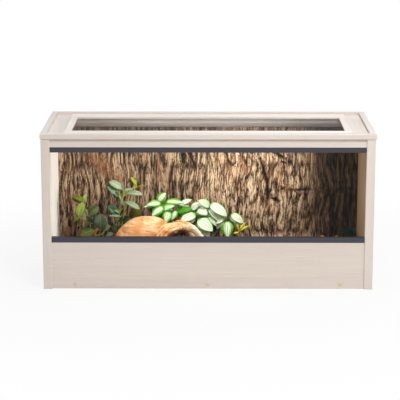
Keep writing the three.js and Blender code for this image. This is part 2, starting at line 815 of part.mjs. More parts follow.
// ---------------------------------------------------------------- plants
// Each stem is a row of points, and each leaf is [where its blade starts, where it ends, its
// width]. Points are the way right of the plant's crown, behind it and above the bed.
const plants = {
  broad_leaf_plant: {
    material: broadLeaf,
    crown: [leftWall + 112, barkFront - 82],
    stems: [
      [[0, 0, 8], [-7, 2, 73], [-27, 7, 138]],
      [[0, 0, 8], [20, -4, 33], [28, -7, 55]],
      [[20, -4, 33], [34, -2, 41], [39, 1, 47]],
    ],
    leaves: [
      [[-28, 7, 146], [-62, -3, 164], 17],
      [[-27, 7, 144], [-18, 13, 166], 11],
      [[-44, -3, 100], [-30, 6, 141], 27],
      [[-43, -5, 96], [-60, -13, 79], 10],
      [[-18, 7, 118], [7, 17, 133], 8],
      [[-8, 5, 98], [21, 12, 120], 23],
      [[-4, 0, 90], [-18, -10, 69], 11],
      [[29, -8, 58], [30, -14, 106], 44],
      [[6, -10, 50], [-35, -28, 40], 34],
      [[38, 2, 48], [57, 9, 65], 16],
      [[45, -8, 34], [68, -13, 42], 16],
    ],
  },
  grey_leaf_sprig: {
    material: greyLeaf,
    crown: [leftWall + 194, barkFront - 62],
    stems: [
      [[0, 0, 8], [2, -2, 78], [13, -4, 138], [24, 1, 170], [59, 6, 190]],
      [[0, 0, 8], [26, 8, 66], [52, 7, 84]],
      [[13, -5, 138], [6, -1, 166], [10, 2, 184]],
    ],
    leaves: [
      [[11, 2, 186], [-22, -8, 206], 25],
      [[4, 0, 162], [-30, -10, 190], 22],
      [[16, 4, 176], [51, 10, 179], 8],
      [[30, 4, 168], [79, -4, 165], 18],
      [[27, -3, 140], [70, -16, 122], 20],
      [[-2, -8, 103], [-30, -16, 128], 28],
      [[11, -14, 95], [-24, -24, 100], 9],
      [[61, 6, 192], [42, 10, 218], 11],
      [[65, 6, 189], [85, 2, 191], 5],
      [[53, 5, 86], [68, 10, 126], 37],
      [[6, 4, 66], [40, 2, 84], 9],
    ],
  },
  striped_leaf_plant_left: {
    material: stripedLeaf,
    crown: [leftWall + 372, barkFront - 58],
    stems: [[[0, 0, 8], [-2, 0, 68], [-6, -2, 110]]],
    leaves: [
      [[-39, -2, 136], [-85, -17, 132], 22],
      [[-46, 6, 138], [-26, 10, 164], 28],
      [[-20, 3, 137], [32, -12, 138], 19],
      [[-32, -10, 122], [-67, -28, 99], 28],
      [[-38, 0, 110], [4, -18, 128], 22],
      [[-12, -14, 110], [-23, -32, 78], 30],
      [[13, -2, 108], [62, -14, 116], 19],
      [[24, 8, 128], [56, 6, 143], 16],
    ],
  },
  striped_leaf_plant_right: {
    material: stripedLeaf,
    crown: [leftWall + 490, barkFront - 58],
    stems: [
      [[0, 0, 8], [-2, 0, 58], [-6, -2, 98]],
      [[0, 0, 8], [30, -2, 53], [54, -6, 83]],
    ],
    leaves: [
      [[-45, -8, 99], [-93, -26, 82], 31],
      [[-36, 0, 114], [-10, -20, 101], 30],
      [[-19, -16, 90], [-22, -36, 46], 44],
      [[-3, 0, 125], [-35, -10, 144], 27],
      [[0, 0, 130], [53, -20, 98], 37],
      [[45, -8, 86], [22, -18, 72], 16],
      [[58, -14, 77], [56, -32, 32], 37],
      [[70, -4, 98], [106, -18, 74], 27],
      [[-60, 8, 110], [-36, 12, 132], 22],
    ],
  },
  yellow_shoots: {
    material: yellowShoot,
    crown: [leftWall + 584, barkFront - 80],
    stems: [[[0, 0, 8], [-2, 0, 34], [-1, 0, 50]]],
    leaves: [
      [[1, 1, 54], [22, 5, 77], 5],
      [[-2, 0, 54], [-8, 5, 72], 6],
      [[3, -2, 50], [33, -4, 68], 6],
    ],
  },
  dark_leaf_plant: {
    material: darkLeaf,
    crown: [rightWall - 25, barkFront - 52],
    stems: [[[0, 0, 6], [1, -1, 20], [0, -1, 30]]],
    leaves: [
      [[-4, -2, 28], [-34, -12, 50], 25],
      [[2, -3, 29], [17, -12, 56], 24],
      [[-2, 4, 30], [-9, 12, 58], 25],
      [[-4, -8, 24], [-19, -32, 32], 20],
    ],
  },
};

// Round plug below each plant, pressed into the substrate.
function crownPlug([x, y], extra = 0) {
  const radius = crownRadius + extra;
  const height = moundTop + crownProud - pocketFloor;
  const plug = new THREE.CylinderGeometry(radius * crownTaper, radius, height, crownFaces);
  return plug.rotateX(Math.PI / 2).translate(x, y, pocketFloor + height / 2);
}

// Leaf blade: a thin lens that widens and narrows again, folded along its midrib and drooping.
function leafBlade([start, end, width]) {
  const base = new THREE.Vector3(...start);
  const along = new THREE.Vector3(...end).sub(base);
  const length = along.length();
  const ahead = along.clone().normalize();
  const towardsLight = new THREE.Vector3(0, -0.8, 0.6);
  const side = new THREE.Vector3().crossVectors(towardsLight, ahead).normalize();
  const face = new THREE.Vector3().crossVectors(ahead, side);
  const sections = [0.12, 0.34, 0.6, 0.85].map((t) => {
    const half = (width / 2) * Math.sin(Math.PI * t ** 0.85);
    const arch = length * leafArch * Math.sin(Math.PI * t);
    const centre = base.clone().addScaledVector(ahead, length * t).addScaledVector(face, arch);
    const corner = (across, rise) => centre.clone().addScaledVector(side, across).addScaledVector(face, rise);
    return [
      corner(half, leafFold * half),
      corner(0, leafThickness / 2),
      corner(-half, leafFold * half),
      corner(0, -leafThickness / 2),
    ].map((p) => p.toArray());
  });
  return loft(sections, [start, end]);
}

function tubeAlong(points, radius, steps, sides) {
  const ring = [];
  for (let i = 0; i < sides; i++) {
    const angle = (i / sides) * 2 * Math.PI;
    ring.push(new THREE.Vector2(radius * Math.cos(angle), radius * Math.sin(angle)));
  }
  const extrudePath = new THREE.CatmullRomCurve3(points.map((p) => new THREE.Vector3(...p)));
  return new THREE.ExtrudeGeometry(new THREE.Shape(ring), { steps, extrudePath, bevelEnabled: false });
}

// Leaf stalk: from the nearest lower place on a stem to just past the start of the blade, sagging
// a little on the way. A place on a stem that isn't lower than the blade counts as far away.
function petiole([start], stems) {
  const leastRise = 4;
  const tooHigh = 60;
  const sag = 0.12;
  const base = new THREE.Vector3(...start);
  let nearest = null;
  for (const stem of stems) {
    const line = new THREE.CatmullRomCurve3(stem.map((p) => new THREE.Vector3(...p)));
    for (const point of line.getPoints(16)) {
      const rise = base.z - point.z;
      const cost = point.distanceTo(base) + (rise < leastRise ? tooHigh : 0);
      if (nearest === null || cost < nearest.cost) {
        nearest = { cost, point };
      }
    }
  }
  const bend = nearest.point.clone().lerp(base, 0.6);
  bend.z -= sag * nearest.point.distanceTo(base);
  const tip = base.clone().addScaledVector(base.clone().sub(bend).normalize(), petioleRadius);
  return tubeAlong([nearest.point, bend, tip].map((p) => p.toArray()), petioleRadius, 4, 4);
}

function plantPiece({ crown, stems, leaves }) {
  const inPlace = ([x, y, z]) => [crown[0] + x, crown[1] + y, bedTop + z];
  const lines = stems.map((stem) => stem.map(inPlace));
  const pieces = [crownPlug(crown)];
  for (const line of lines) {
    pieces.push(tubeAlong(line, stemRadius, 2 * (line.length - 1), 4));
  }
  for (const [start, end, width] of leaves) {
    const blade = [inPlace(start), inPlace(end), width];
    pieces.push(leafBlade(blade));
    pieces.push(petiole(blade, lines));
  }
  return joined(pieces);
}

// Pockets in the substrate for the plants' plugs, the stone and the driftwood's two feet.
function substratePockets() {
  const pockets = Object.values(plants).map(({ crown }) => crownPlug(crown, fitGap));
  const reach = 2 * (substrateMound + pocketDepth);
  const oval = new THREE.CylinderGeometry(1, 1, reach, stone.faces * 2);
  oval.rotateX(Math.PI / 2);
  oval.scale(stone.halfLength + pocketClearance, stone.halfDepth + pocketClearance, 1);
  pockets.push(oval.translate(stone.x, stone.y, pocketFloor + reach / 2));
  for (const foot of [driftwoodLine[0], driftwoodLine[driftwoodLine.length - 1]]) {
    const hole = new THREE.CylinderGeometry(driftwoodPocket, driftwoodPocket, reach, roundFaces);
    pockets.push(hole.rotateX(Math.PI / 2).translate(foot[0], foot[1], pocketFloor + reach / 2));
  }
  return pockets;
}

// ---------------------------------------------------------------- assembly
const cabinet = new THREE.Group();

function add(name, geometry, material) {
  const mesh = new THREE.Mesh(geometry, material);
  mesh.name = name;
  cabinet.add(mesh);
}

add("base_board", baseBoard(), paleWood);
add("side_panel_left", sidePanel(-1), paleWood);
add("side_panel_right", sidePanel(1), paleWood);
add("back_panel", backPanel(), paleWood);
add("back_rail", backRail(), paleWood);
add("back_rail_screw", backRailScrew(), screwSteel);
add("front_stile_left", frontStile(-1), paleWood);
add("front_stile_right", frontStile(1), paleWood);
add("front_upper_rail", frontUpperRail(), paleWood);
add("front_lower_panel", frontLowerPanel(), paleWood);
for (const [name, place] of Object.entries(screwPlaces)) {
  add(`screw_${name}`, boardScrew(place), screwSteel);
  add(`screw_cover_${name}`, screwCover(place), coverPlastic);
}
add("track_upper", upperTrack(), trackPlastic);
add("track_lower", lowerTrack(), trackPlastic);
add("glass_door_left", glassDoor(-stileInner + glassEndGap, rearGroove), clearGlass);
add("glass_door_right", glassDoor(stileInner - glassEndGap - glassWidth, frontGroove), clearGlass);
add("rim_front", crossRim(frontFace - rimOverhang, panelBack), paleWood);
add("rim_back", crossRim(backFace + rimOverhang, rimBackInner), paleWood);
add("rim_left", sideRim(-1), paleWood);
add("rim_right", sideRim(1), paleWood);
add("deck_left", deckBoard([-sideInner, deckOpening.left], [deckOpening.front, deckOpening.back]), paleWood);
add("deck_right", deckBoard([deckOpening.right, sideInner], [deckOpening.front, deckOpening.back]), paleWood);
add("deck_front", deckBoard([-sideInner, sideInner], [panelBack, deckOpening.front]), paleWood);
add("deck_back", deckBoard([-sideInner, sideInner], [deckOpening.back, rimBackInner]), paleWood);
add("lid_front", lidLongMember(lid.front, lidOpening.front), paleWood);
add("lid_back", lidLongMember(lid.back, lidOpening.back), paleWood);
add("lid_left", lidSideMemberPiece(lid.left, lidOpening.left), paleWood);
add("lid_right", lidSideMemberPiece(lid.right, lidOpening.right), paleWood);
add("lid_mesh", lidMesh(), meshWire);
add("bark_background", barkBackground(), barkBrown);
add("substrate_bed", substrateBed(substratePockets()), substrateBrown);
add("basking_stone", baskingStone(), sandstone);
add("driftwood_arch", driftwoodArch(), driftwoodTan);
for (const [name, plant] of Object.entries(plants)) {
  add(name, plantPiece(plant), plant.material);
}

export default cabinet;
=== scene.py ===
"""Terrarium cabinet: finishes, bark, planting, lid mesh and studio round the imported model.

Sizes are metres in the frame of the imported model: +X to the right, the front faces -Y, +Z up.
"""
import math
from functools import partialmethod

import bpy
import numpy as np
from bpy.props import FloatProperty, FloatVectorProperty, IntProperty, PointerProperty
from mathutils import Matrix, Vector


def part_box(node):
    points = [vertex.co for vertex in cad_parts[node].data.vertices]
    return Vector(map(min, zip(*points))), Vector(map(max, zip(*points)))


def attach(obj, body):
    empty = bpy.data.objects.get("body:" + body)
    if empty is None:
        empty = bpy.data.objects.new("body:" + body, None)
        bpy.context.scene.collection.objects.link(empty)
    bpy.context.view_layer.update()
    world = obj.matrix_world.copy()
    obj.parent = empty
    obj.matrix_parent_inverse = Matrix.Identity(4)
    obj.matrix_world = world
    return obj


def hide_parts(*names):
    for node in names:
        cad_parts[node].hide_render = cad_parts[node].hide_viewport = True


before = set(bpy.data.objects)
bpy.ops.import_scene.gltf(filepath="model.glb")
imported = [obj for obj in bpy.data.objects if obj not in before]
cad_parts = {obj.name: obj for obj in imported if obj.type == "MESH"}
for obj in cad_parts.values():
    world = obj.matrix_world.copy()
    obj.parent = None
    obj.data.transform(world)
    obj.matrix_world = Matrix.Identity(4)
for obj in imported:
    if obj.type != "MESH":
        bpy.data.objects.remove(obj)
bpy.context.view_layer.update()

bl_info = {
    "name": "Terrarium cabinet",
    "version": (1, 0, 0),
    "blender": (4, 5, 0),
    "location": "3D View > Sidebar > Terrarium",
    "description": "Dresses a packed terrarium cabinet: boards, glass, bark, planting and studio",
    "category": "Object",
}

MM = 0.001
WHITE = (1, 1, 1, 1)

BARK_DEPTH = 18 * MM  # from its back to its mean face
BED_DEPTH = 38 * MM
MOUND = 7 * MM  # how far the substrate rises over its level at the back
RIM_PROUD = 2.5 * MM

# Places that the planting is measured from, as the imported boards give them.
LEFT_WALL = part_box("side_panel_left")[1].x
RIGHT_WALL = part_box("side_panel_right")[0].x
BARK_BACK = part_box("bark_background")[1].y
BARK_FRONT = BARK_BACK - BARK_DEPTH
BED_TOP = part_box("base_board")[1].z + BED_DEPTH


# -------- colours and properties
def linear(colour):
    """A display colour as the shaders take it: each channel's display curve undone, alpha 1."""
    channels = np.asarray(colour[:3], float)
    low = channels / 12.92
    high = ((channels + 0.055) / 1.055) ** 2.4
    return (*np.where(channels <= 0.04045, low, high), 1.0)


def darker(colour, share):
    """That share of the light of a display colour, as the shaders take it."""
    return tuple(share * channel for channel in linear(colour)[:3]) + (1.0,)


def colour_field(name, description, red, green, blue):
    """A colour that the panel shows, given as display values from 0 to 255."""
    default = (red / 255, green / 255, blue / 255)
    return FloatVectorProperty(
        name=name, description=description, subtype="COLOR_GAMMA", size=3, min=0.0, max=1.0, default=default
    )


# Kinds of number that the panel shows: their least and largest values, and their units.
LENGTH = {"min": 0.0, "subtype": "DISTANCE", "unit": "LENGTH"}
FOCAL_LENGTH = {"min": 1.0, "subtype": "DISTANCE_CAMERA"}
ANGLE = {"subtype": "ANGLE", "unit": "ROTATION"}
SHARE = {"min": 0.0, "max": 1.0, "subtype": "FACTOR"}
POWER = {"min": 0.0, "unit": "POWER"}


def number_field(name, description, default, kind):
    return FloatProperty(name=name, description=description, default=default, **kind)


def count_field(name, description, default, least=0):
    return IntProperty(name=name, description=description, default=default, min=least)


class BoardFinish(bpy.types.PropertyGroup):
    """The pale laminate of the boards and the plastics on them."""

    pale: colour_field("Pale wood", "Laminate between its streaks", 222, 210, 200)
    # Top and lid are lighter than the pale wood: painted light on the upward faces, and on the lid a painted
    # highlight.
    top: colour_field("Top", "Upward faces of the rim and the deck", 233, 226, 220)
    lid: colour_field("Lid", "Upward faces of the lid", 250, 245, 239)
    streak: colour_field("Streak", "Darker streaks of the wood print", 207, 191, 178)
    pore: colour_field("Pore", "Short dark pores of the wood print", 203, 184, 168)
    # The two inner colours paint the light on the left inner wall and the shade on the right inner wall.
    lining: colour_field("Lining", "Inner face of the left side panel", 240, 232, 223)
    shaded: colour_field("Shaded lining", "Inner face of the right side panel", 194, 161, 126)
    track: colour_field("Track", "Dark plastic of the glass tracks", 62, 61, 71)
    cover: colour_field("Screw cover", "Beige plastic of the screw covers", 222, 203, 170)
    steel: colour_field("Steel", "Screws", 176, 175, 170)


class GlassFinish(bpy.types.PropertyGroup):
    """The two sliding panes."""

    edge: colour_field("Edge", "Green of the cut edges", 120, 168, 156)
    sheen: number_field("Sheen", "Share of the mirrored light kept", 0.12, SHARE)


class LidMeshSize(bpy.types.PropertyGroup):
    """The wire mesh of the lid."""

    pitch: number_field("Pitch", "From one wire to the next", 3.2 * MM, LENGTH)
    wire: number_field("Wire", "Thickness of a wire", 0.25 * MM, LENGTH)
    metal: colour_field("Wire metal", "Coated wire", 92, 88, 90)


class BarkSize(bpy.types.PropertyGroup):
    """The bark background."""

    columns: count_field("Columns", "Steps of the surface across", 700, 20)
    rows: count_field("Rows", "Steps of the surface upwards", 134, 20)
    # Furrow, middle and crest follow the relief: partly the bark's own colour, partly painted shade in the
    # furrows and painted highlight on the crests.
    furrow: colour_field("Furrow", "Bottom of the furrows", 25, 14, 8)
    middle: colour_field("Middle", "Flanks of the ridges", 144, 106, 72)
    crest: colour_field("Crest", "Tops of the ridges", 255, 222, 182)
    rust: colour_field("Rust", "Orange patches", 178, 108, 58)
    # Only the left half's brightness; the right end's painted shadow is set in bark_skin.
    left_brightness: number_field("Old side", "Brightness of the left half", 0.55, SHARE)


class BedSize(bpy.types.PropertyGroup):
    """The substrate and the chips on it."""

    chips: count_field("Chips", "Bark chips on the substrate", 900)
    leaves: count_field("Dry leaves", "Dry leaves along the bark", 22)
    soil: colour_field("Soil", "Damp fine substrate", 58, 38, 25)
    chip: colour_field("Chip", "Dry bark chips", 142, 92, 55)


class RockSize(bpy.types.PropertyGroup):
    """The stone and the driftwood."""

    lean: number_field("Lean", "How far the stone's crest stands to the right of its foot", 18 * MM, LENGTH)
    sand: colour_field("Sandstone", "Body of the stone", 224, 156, 94)
    # Bloom is a painted highlight on the top and on pale patches; the streak colour also paints the shade at
    # the foot.
    sand_highlight: colour_field("Sandstone bloom", "Pale worn patches of the stone", 248, 205, 160)
    sand_streak_and_shade: colour_field("Sandstone streak", "Streaks and the foot of the stone", 178, 100, 46)
    wood: colour_field("Driftwood", "Body of the wood", 244, 172, 100)
    # The edge colour is a painted highlight on pale patches and on the right leg; the grain colour also
    # paints the shade under the arch.
    wood_highlight: colour_field("Driftwood edge", "Pale worn edges", 255, 232, 202)
    wood_grain_and_shade: colour_field("Driftwood grain", "Cracks and hollows", 146, 78, 34)


class StudioLight(bpy.types.PropertyGroup):
    """The camera, the lamps and the floor."""

    lens: number_field("Lens", "Focal length on a 36 mm sensor", 140.75, FOCAL_LENGTH)
    tilt: number_field("Tilt", "Camera's tilt below the level", math.radians(12.986), ANGLE)
    turn: number_field("Turn", "Camera's turn to the left", math.radians(0.3026), ANGLE)
    stand: FloatVectorProperty(
        name="Stand", description="Place of the camera", subtype="TRANSLATION", default=(0, -4.7805, 1.3354)
    )
    key: number_field("Key", "Power of the key lamp", 68.0, POWER)
    back: number_field("Back", "Power of the lamp behind", 22.0, POWER)
    cabin: number_field("Cabin", "Power of the lamp under the lid", 1.4, POWER)
    wall: number_field("Wall", "Power of the spot on the left inner wall", 20.0, POWER)
    sky: number_field("Sky", "Strength of the even light from all round", 0.5, SHARE)


# -------- finishes
class Signal:
    """A shader socket that takes part in sums, so that a formula reads as one."""

    def __init__(self, paint, socket):
        self.paint = paint
        self.socket = socket

    def maths(self, operation, *others, reflected=False):
        values = (*others, self) if reflected else (self, *others)
        return self.paint.node("ShaderNodeMath", {"operation": operation}, dict(enumerate(values)))

    __add__ = partialmethod(maths, "ADD")
    __radd__ = partialmethod(maths, "ADD", reflected=True)
    __sub__ = partialmethod(maths, "SUBTRACT")
    __rsub__ = partialmethod(maths, "SUBTRACT", reflected=True)
    __mul__ = partialmethod(maths, "MULTIPLY")
    __rmul__ = partialmethod(maths, "MULTIPLY", reflected=True)
    __pow__ = partialmethod(maths, "POWER")
    __rpow__ = partialmethod(maths, "POWER", reflected=True)
    __abs__ = partialmethod(maths, "ABSOLUTE")
    sine = partialmethod(maths, "SINE")

    def limited(self):
        """The value kept from 0 to 1."""
        return self.maths("MAXIMUM", 0.0).maths("MINIMUM", 1.0)


class Paint:
    """One finish: a material, or the world, and the nodes that it is mixed from."""

    def __init__(self, name, owners=None):
        self.owner = (bpy.data.materials if owners is None else owners).new(name)
        self.owner.use_nodes = True
        self.tree = self.owner.node_tree
        self.tree.nodes.clear()

    def node(self, kind, settings=None, sockets=None, output=0):
        """A node of that kind: its settings come first, then the values or links of its sockets."""
        made = self.tree.nodes.new(kind)
        for name, value in (settings or {}).items():
            if name == "stops":
                self.set_stops(made.color_ramp, value)
            else:
                setattr(made, name, value)
        for name, value in (sockets or {}).items():
            if isinstance(value, Signal):
                self.tree.links.new(value.socket, made.inputs[name])
            else:
                made.inputs[name].default_value = value
        return Signal(self, made.outputs[output])

    @staticmethod
    def set_stops(ramp, stops):
        while len(ramp.elements) < len(stops):
            ramp.elements.new(1.0)
        for element, (place, colour) in zip(ramp.elements, stops):
            element.position = place
            element.color = colour

    def place(self, scale=1, move=(0, 0, 0), vector=None):
        """Object coordinates in metres, or another vector, stretched by scale and moved."""
        if vector is None:
            vector = self.node("ShaderNodeTexCoord", output="Object")
        scale = np.broadcast_to(scale, 3).tolist()
        return self.node("ShaderNodeMapping", None, {"Vector": vector, "Scale": scale, "Location": move})

    def noise(self, scale, detail=3.0, roughness=0.55, distortion=0.0, **place):
        """Noise with that many cycles a metre, along each axis or along all three."""
        sockets = {"Vector": self.place(scale, **place), "Scale": 1.0, "Detail": detail}
        sockets |= {"Roughness": roughness, "Distortion": distortion}
        return self.node("ShaderNodeTexNoise", None, sockets)

    def stretch(self, value, low, high):
        """0 where value is at low or under, 1 at high or over, and straight between."""
        sockets = {"Value": value, "From Min": low, "From Max": high}
        return self.node("ShaderNodeMapRange", {"clamp": True}, sockets)

    def attribute(self, name, output="Fac"):
        return self.node("ShaderNodeAttribute", {"attribute_name": name}, output=output)

    def parts(self, vector):
        """The x, y and z of a vector."""
        made = self.node("ShaderNodeSeparateXYZ", None, {0: vector})
        return [Signal(self, socket) for socket in made.socket.node.outputs]

    def facing(self):
        """The x, y and z of the way that the surface faces."""
        return self.parts(self.node("ShaderNodeNewGeometry", output="Normal"))

    def mix(self, factor, first, second, blend="MIX"):
        """The first colour where factor is 0 and the second where it is 1."""
        settings = {"data_type": "RGBA", "blend_type": blend}
        return self.node("ShaderNodeMix", settings, {0: factor, 6: first, 7: second}, output=2)

    def shades(self, factor, colour, share):
        """The colour where factor is 1, and only that share of its light where it is 0."""
        return self.mix(factor, darker(colour, share), linear(colour))

    def ramp(self, value, *stops):
        """A run of colours over a value; a stop is the value it stands at and its display colour."""
        stops = [(place, linear(colour)) for place, colour in stops]
        return self.node("ShaderNodeValToRGB", {"stops": stops}, {0: value})

    def mix_shaders(self, factor, first, second):
        return self.node("ShaderNodeMixShader", None, {0: factor, 1: first, 2: second})

    def bump(self, height, distance, strength=1.0):
        sockets = {"Height": height, "Distance": distance, "Strength": strength}
        return self.node("ShaderNodeBump", None, sockets)

    def surface(self, colour, roughness, **sockets):
        """The plain shader; a keyword names a socket, with _ for a space."""
        named = {name.replace("_", " "): value for name, value in sockets.items()}
        sockets = {"Base Color": colour, "Roughness": roughness, **named}
        return self.node("ShaderNodeBsdfPrincipled", None, sockets)

    def done(self, shader, output="ShaderNodeOutputMaterial"):
        """Links the shader to the output, and gives the material or the world."""
        made = self.tree.nodes.new(output)
        self.tree.links.new(shader.socket, made.inputs["Surface"])
        return self.owner

    def finish(self, colour, roughness, **sockets):
        """The material with the plain shader."""
        return self.done(self.surface(colour, roughness, **sockets))


GRAIN = {"x": (1, 0, 0), "y": (0, 1, 0), "z": (0, 0, 1)}


def across_grain(grain, along, across):
    """Noise scales for streaks: cycles a metre along the grain axis and across it."""
    return tuple(along if step else across for step in GRAIN[grain])


def laminate(name, finish, grain, top, lining=None):
    """Wood-print laminate: broad streaks and fine pores that run along the grain.

    Upward faces take the top colour, which paints the light from above. With an inner colour, faces that
    look sideways into the cabinet take it: painted light on the left inner wall and painted shade on the
    right one.
    """
    paint = Paint(name)
    broad = paint.noise(across_grain(grain, 1.4, 26))
    fine = paint.noise(across_grain(grain, 5, 240), 2.0, move=(3, 1, 2))
    pores = paint.noise(across_grain(grain, 26, 900), 1.0, move=(1, 5, 4))
    streak = paint.stretch(0.62 * broad + 0.38 * fine, 0.36, 0.68)
    facing = paint.facing()
    # Upward faces take the lighter top colour: painted light from above.
    pale = paint.mix(paint.stretch(facing[2], 0.6, 0.9), linear(finish.pale), linear(top))
    colour = paint.mix(streak * 0.62, pale, linear(finish.streak))
    colour = paint.mix(paint.stretch(pores, 0.6, 0.72) * 0.4, colour, linear(finish.pore))
    # Inner side faces take their own colour: painted light on the left wall, painted shade on the right.
    if lining:
        here = paint.parts(paint.place())[0]
        inward = paint.stretch(facing[0] * here * -1.0, 0.3, 0.4)
        colour = paint.mix(inward, colour, linear(lining))
    bump = paint.bump(0.7 * fine - 0.6 * pores, 0.08 * MM, 0.5)
    return paint.finish(colour, 0.42 + 0.14 * fine, Normal=bump)


def track_plastic(finish):
    """Extruded dark plastic: fine lines along the track and a soft gloss."""
    paint = Paint("track_plastic")
    lines = paint.noise((0.8, 900, 900), 2.0)
    dust = paint.noise(40, 4.0)
    colour = paint.shades(paint.stretch(lines, 0.35, 0.65), finish.track, 0.82)
    bump = paint.bump(lines, 0.05 * MM, 0.5)
    return paint.finish(colour, 0.3 + 0.16 * dust, Normal=bump)


def cover_plastic(finish):
    """Matt moulded plastic with a fine grain."""
    paint = Paint("cover_plastic")
    grain = paint.noise(1800, 2.0)
    colour = paint.shades(paint.noise(120, 2.0), finish.cover, 0.86)
    bump = paint.bump(grain, 0.03 * MM, 0.6)
    return paint.finish(colour, 0.45 + 0.1 * grain, Normal=bump)


def screw_steel(finish):
    """Zinc-plated steel with turned marks."""
    paint = Paint("screw_steel")
    marks = paint.noise((400, 1500, 400))
    colour = paint.shades(marks, finish.steel, 0.7)
    return paint.finish(colour, 0.25 + 0.2 * marks, Metallic=1.0)


def clear_glass(glass):
    """Float glass: see-through, mirrors a little at a slant, green at its cut edges, which are the
    faces that look neither forwards nor back."""
    paint = Paint("clear_glass")
    cut = paint.stretch(abs(paint.facing()[1]), 0.9, 0.5)
    slant = paint.node("ShaderNodeFresnel", None, {"IOR": 1.45})
    smear = paint.noise(6, 2.0)
    mirror = paint.surface(linear((0.9, 0.95, 0.94)), 0.03 + 0.05 * smear)
    edge = paint.surface(linear(glass.edge), 0.25)
    clear = paint.node("ShaderNodeBsdfTransparent", None, {"Color": (0.985, 0.995, 0.99, 1.0)})
    pane = paint.mix_shaders(slant * glass.sheen, clear, mirror)
    return paint.done(paint.mix_shaders(cut * 0.45, pane, edge))


def wire_metal(size):
    """Coated wire with a slightly uneven coat."""
    paint = Paint("wire_metal")
    coat = paint.noise(90)
    colour = paint.shades(coat, size.metal, 0.7)
    return paint.finish(colour, 0.4 + 0.2 * coat, Metallic=0.35)


def bark_skin(size):
    """Bark: dark in the furrows and tan on the crests, partly its own colour and partly painted shade and
    highlight, with rusty patches and fine fibres.

    The left half is darker, and the right end is darker still under a painted shadow, both with uneven
    borders.
    """
    paint = Paint("bark_skin")
    height = paint.attribute("height")
    rust = paint.attribute("rust")
    fibres = paint.noise((360, 360, 52), 4.0, 0.65)
    cracks = abs(paint.noise((170, 170, 17), 3.0, 0.6, move=(4, 1, 2)) - 0.5)
    patch = paint.noise((14, 14, 7))
    grit = paint.noise((210, 210, 130), 3.0, 0.7, move=(1, 5, 3))
    # Tone follows the relief: partly the bark's own colour, partly painted shade in the furrows and painted
    # highlight on the crests.
    tone = height + (fibres - 0.5) * 0.85 + (patch - 0.5) * 0.3 + (grit - 0.5) * 0.6
    tone = tone + 0.12 - 0.55 * paint.stretch(cracks, 0.045, 0.012)
    colour = paint.ramp(tone, (0.24, size.furrow), (0.53, size.middle), (0.94, size.crest))
    rusty = paint.mix(0.55, colour, linear(size.rust))
    colour = paint.mix((rust * paint.stretch(height, 0.15, 0.45)).limited(), colour, rusty)
    # Darker left half, and a painted shadow over the right end that turns warmer where it is deeper.
    here = paint.parts(paint.place())[0] + (patch - 0.5) * 0.2
    shade = size.left_brightness + (1.0 - size.left_brightness) * paint.stretch(here, -120 * MM, 50 * MM)
    shade = shade * (1.0 - 0.88 * paint.stretch(here, 260 * MM, 380 * MM))
    dimming_and_painted_shadow = paint.node("ShaderNodeCombineColor", None, {0: shade, 1: shade ** 1.12, 2: shade ** 1.24})
    colour = paint.mix(1.0, colour, dimming_and_painted_shadow, "MULTIPLY")
    bump = paint.bump(fibres + 2.0 * cracks + grit, 1.6 * MM, 0.9)
    return paint.finish(colour, 0.86 + 0.1 * patch, Normal=bump)


def soil_skin(bed):
    """Damp fine substrate with paler crumbs."""
    paint = Paint("soil_skin")
    crumbs = paint.noise(240, 4.0, 0.65)
    damp = paint.noise(12, 2.0)
    colour = paint.shades(paint.stretch(crumbs, 0.35, 0.65), bed.soil, 0.5)
    colour = paint.mix(paint.stretch(crumbs, 0.66, 0.74) * 0.7, colour, linear(bed.chip))
    bump = paint.bump(crumbs, 2.5 * MM, 0.9)
    return paint.finish(colour, 0.75 + 0.2 * damp, Normal=bump)


def chip_skin(bed):
    """Dry bark chips: each has its own shade, with grain along it."""
    paint = Paint("chip_skin")
    shade = paint.attribute("shade")
    grain = paint.noise(260, 4.0)
    colour = paint.shades((0.25 + 0.75 * shade + (grain - 0.5) * 0.6).limited(), bed.chip, 0.3)
    return paint.finish(colour, 0.85, Normal=paint.bump(grain, 0.8 * MM, 0.7))


def stone_skin(rock):
    """Sandstone: soft streaks along its layers, painted shade towards the foot, painted highlights on the
    top and on pale patches, and a fine grain.
    """
    paint = Paint("stone_skin")
    layers = paint.noise((16, 12, 70), 4.0, 0.6, 1.4)
    grain = paint.noise(700)
    rise = paint.attribute("height")
    patch = paint.noise(26, 4.0, 0.6)
    # The top is lighter and the foot darker: painted light from above and painted shade at the foot. High
    # patches reach the painted highlight.
    tone = 0.5 + (layers - 0.5) * 1.9 + (rise - 0.5) * 0.5
    tone = tone + (grain - 0.5) * 0.4 + (patch - 0.5) * 1.3
    colour = paint.ramp(tone, (0.05, rock.sand_streak_and_shade), (0.5, rock.sand), (0.95, rock.sand_highlight))
    bump = paint.bump(0.7 * grain + 0.6 * layers, 0.8 * MM, 0.6)
    return paint.finish(colour, 0.62 + 0.15 * grain, Normal=bump)


# Painted shade under the arch, nearly black.
UNDER_ARCH_SHADE = (0.05, 0.026, 0.014, 1.0)  # as the shaders take it


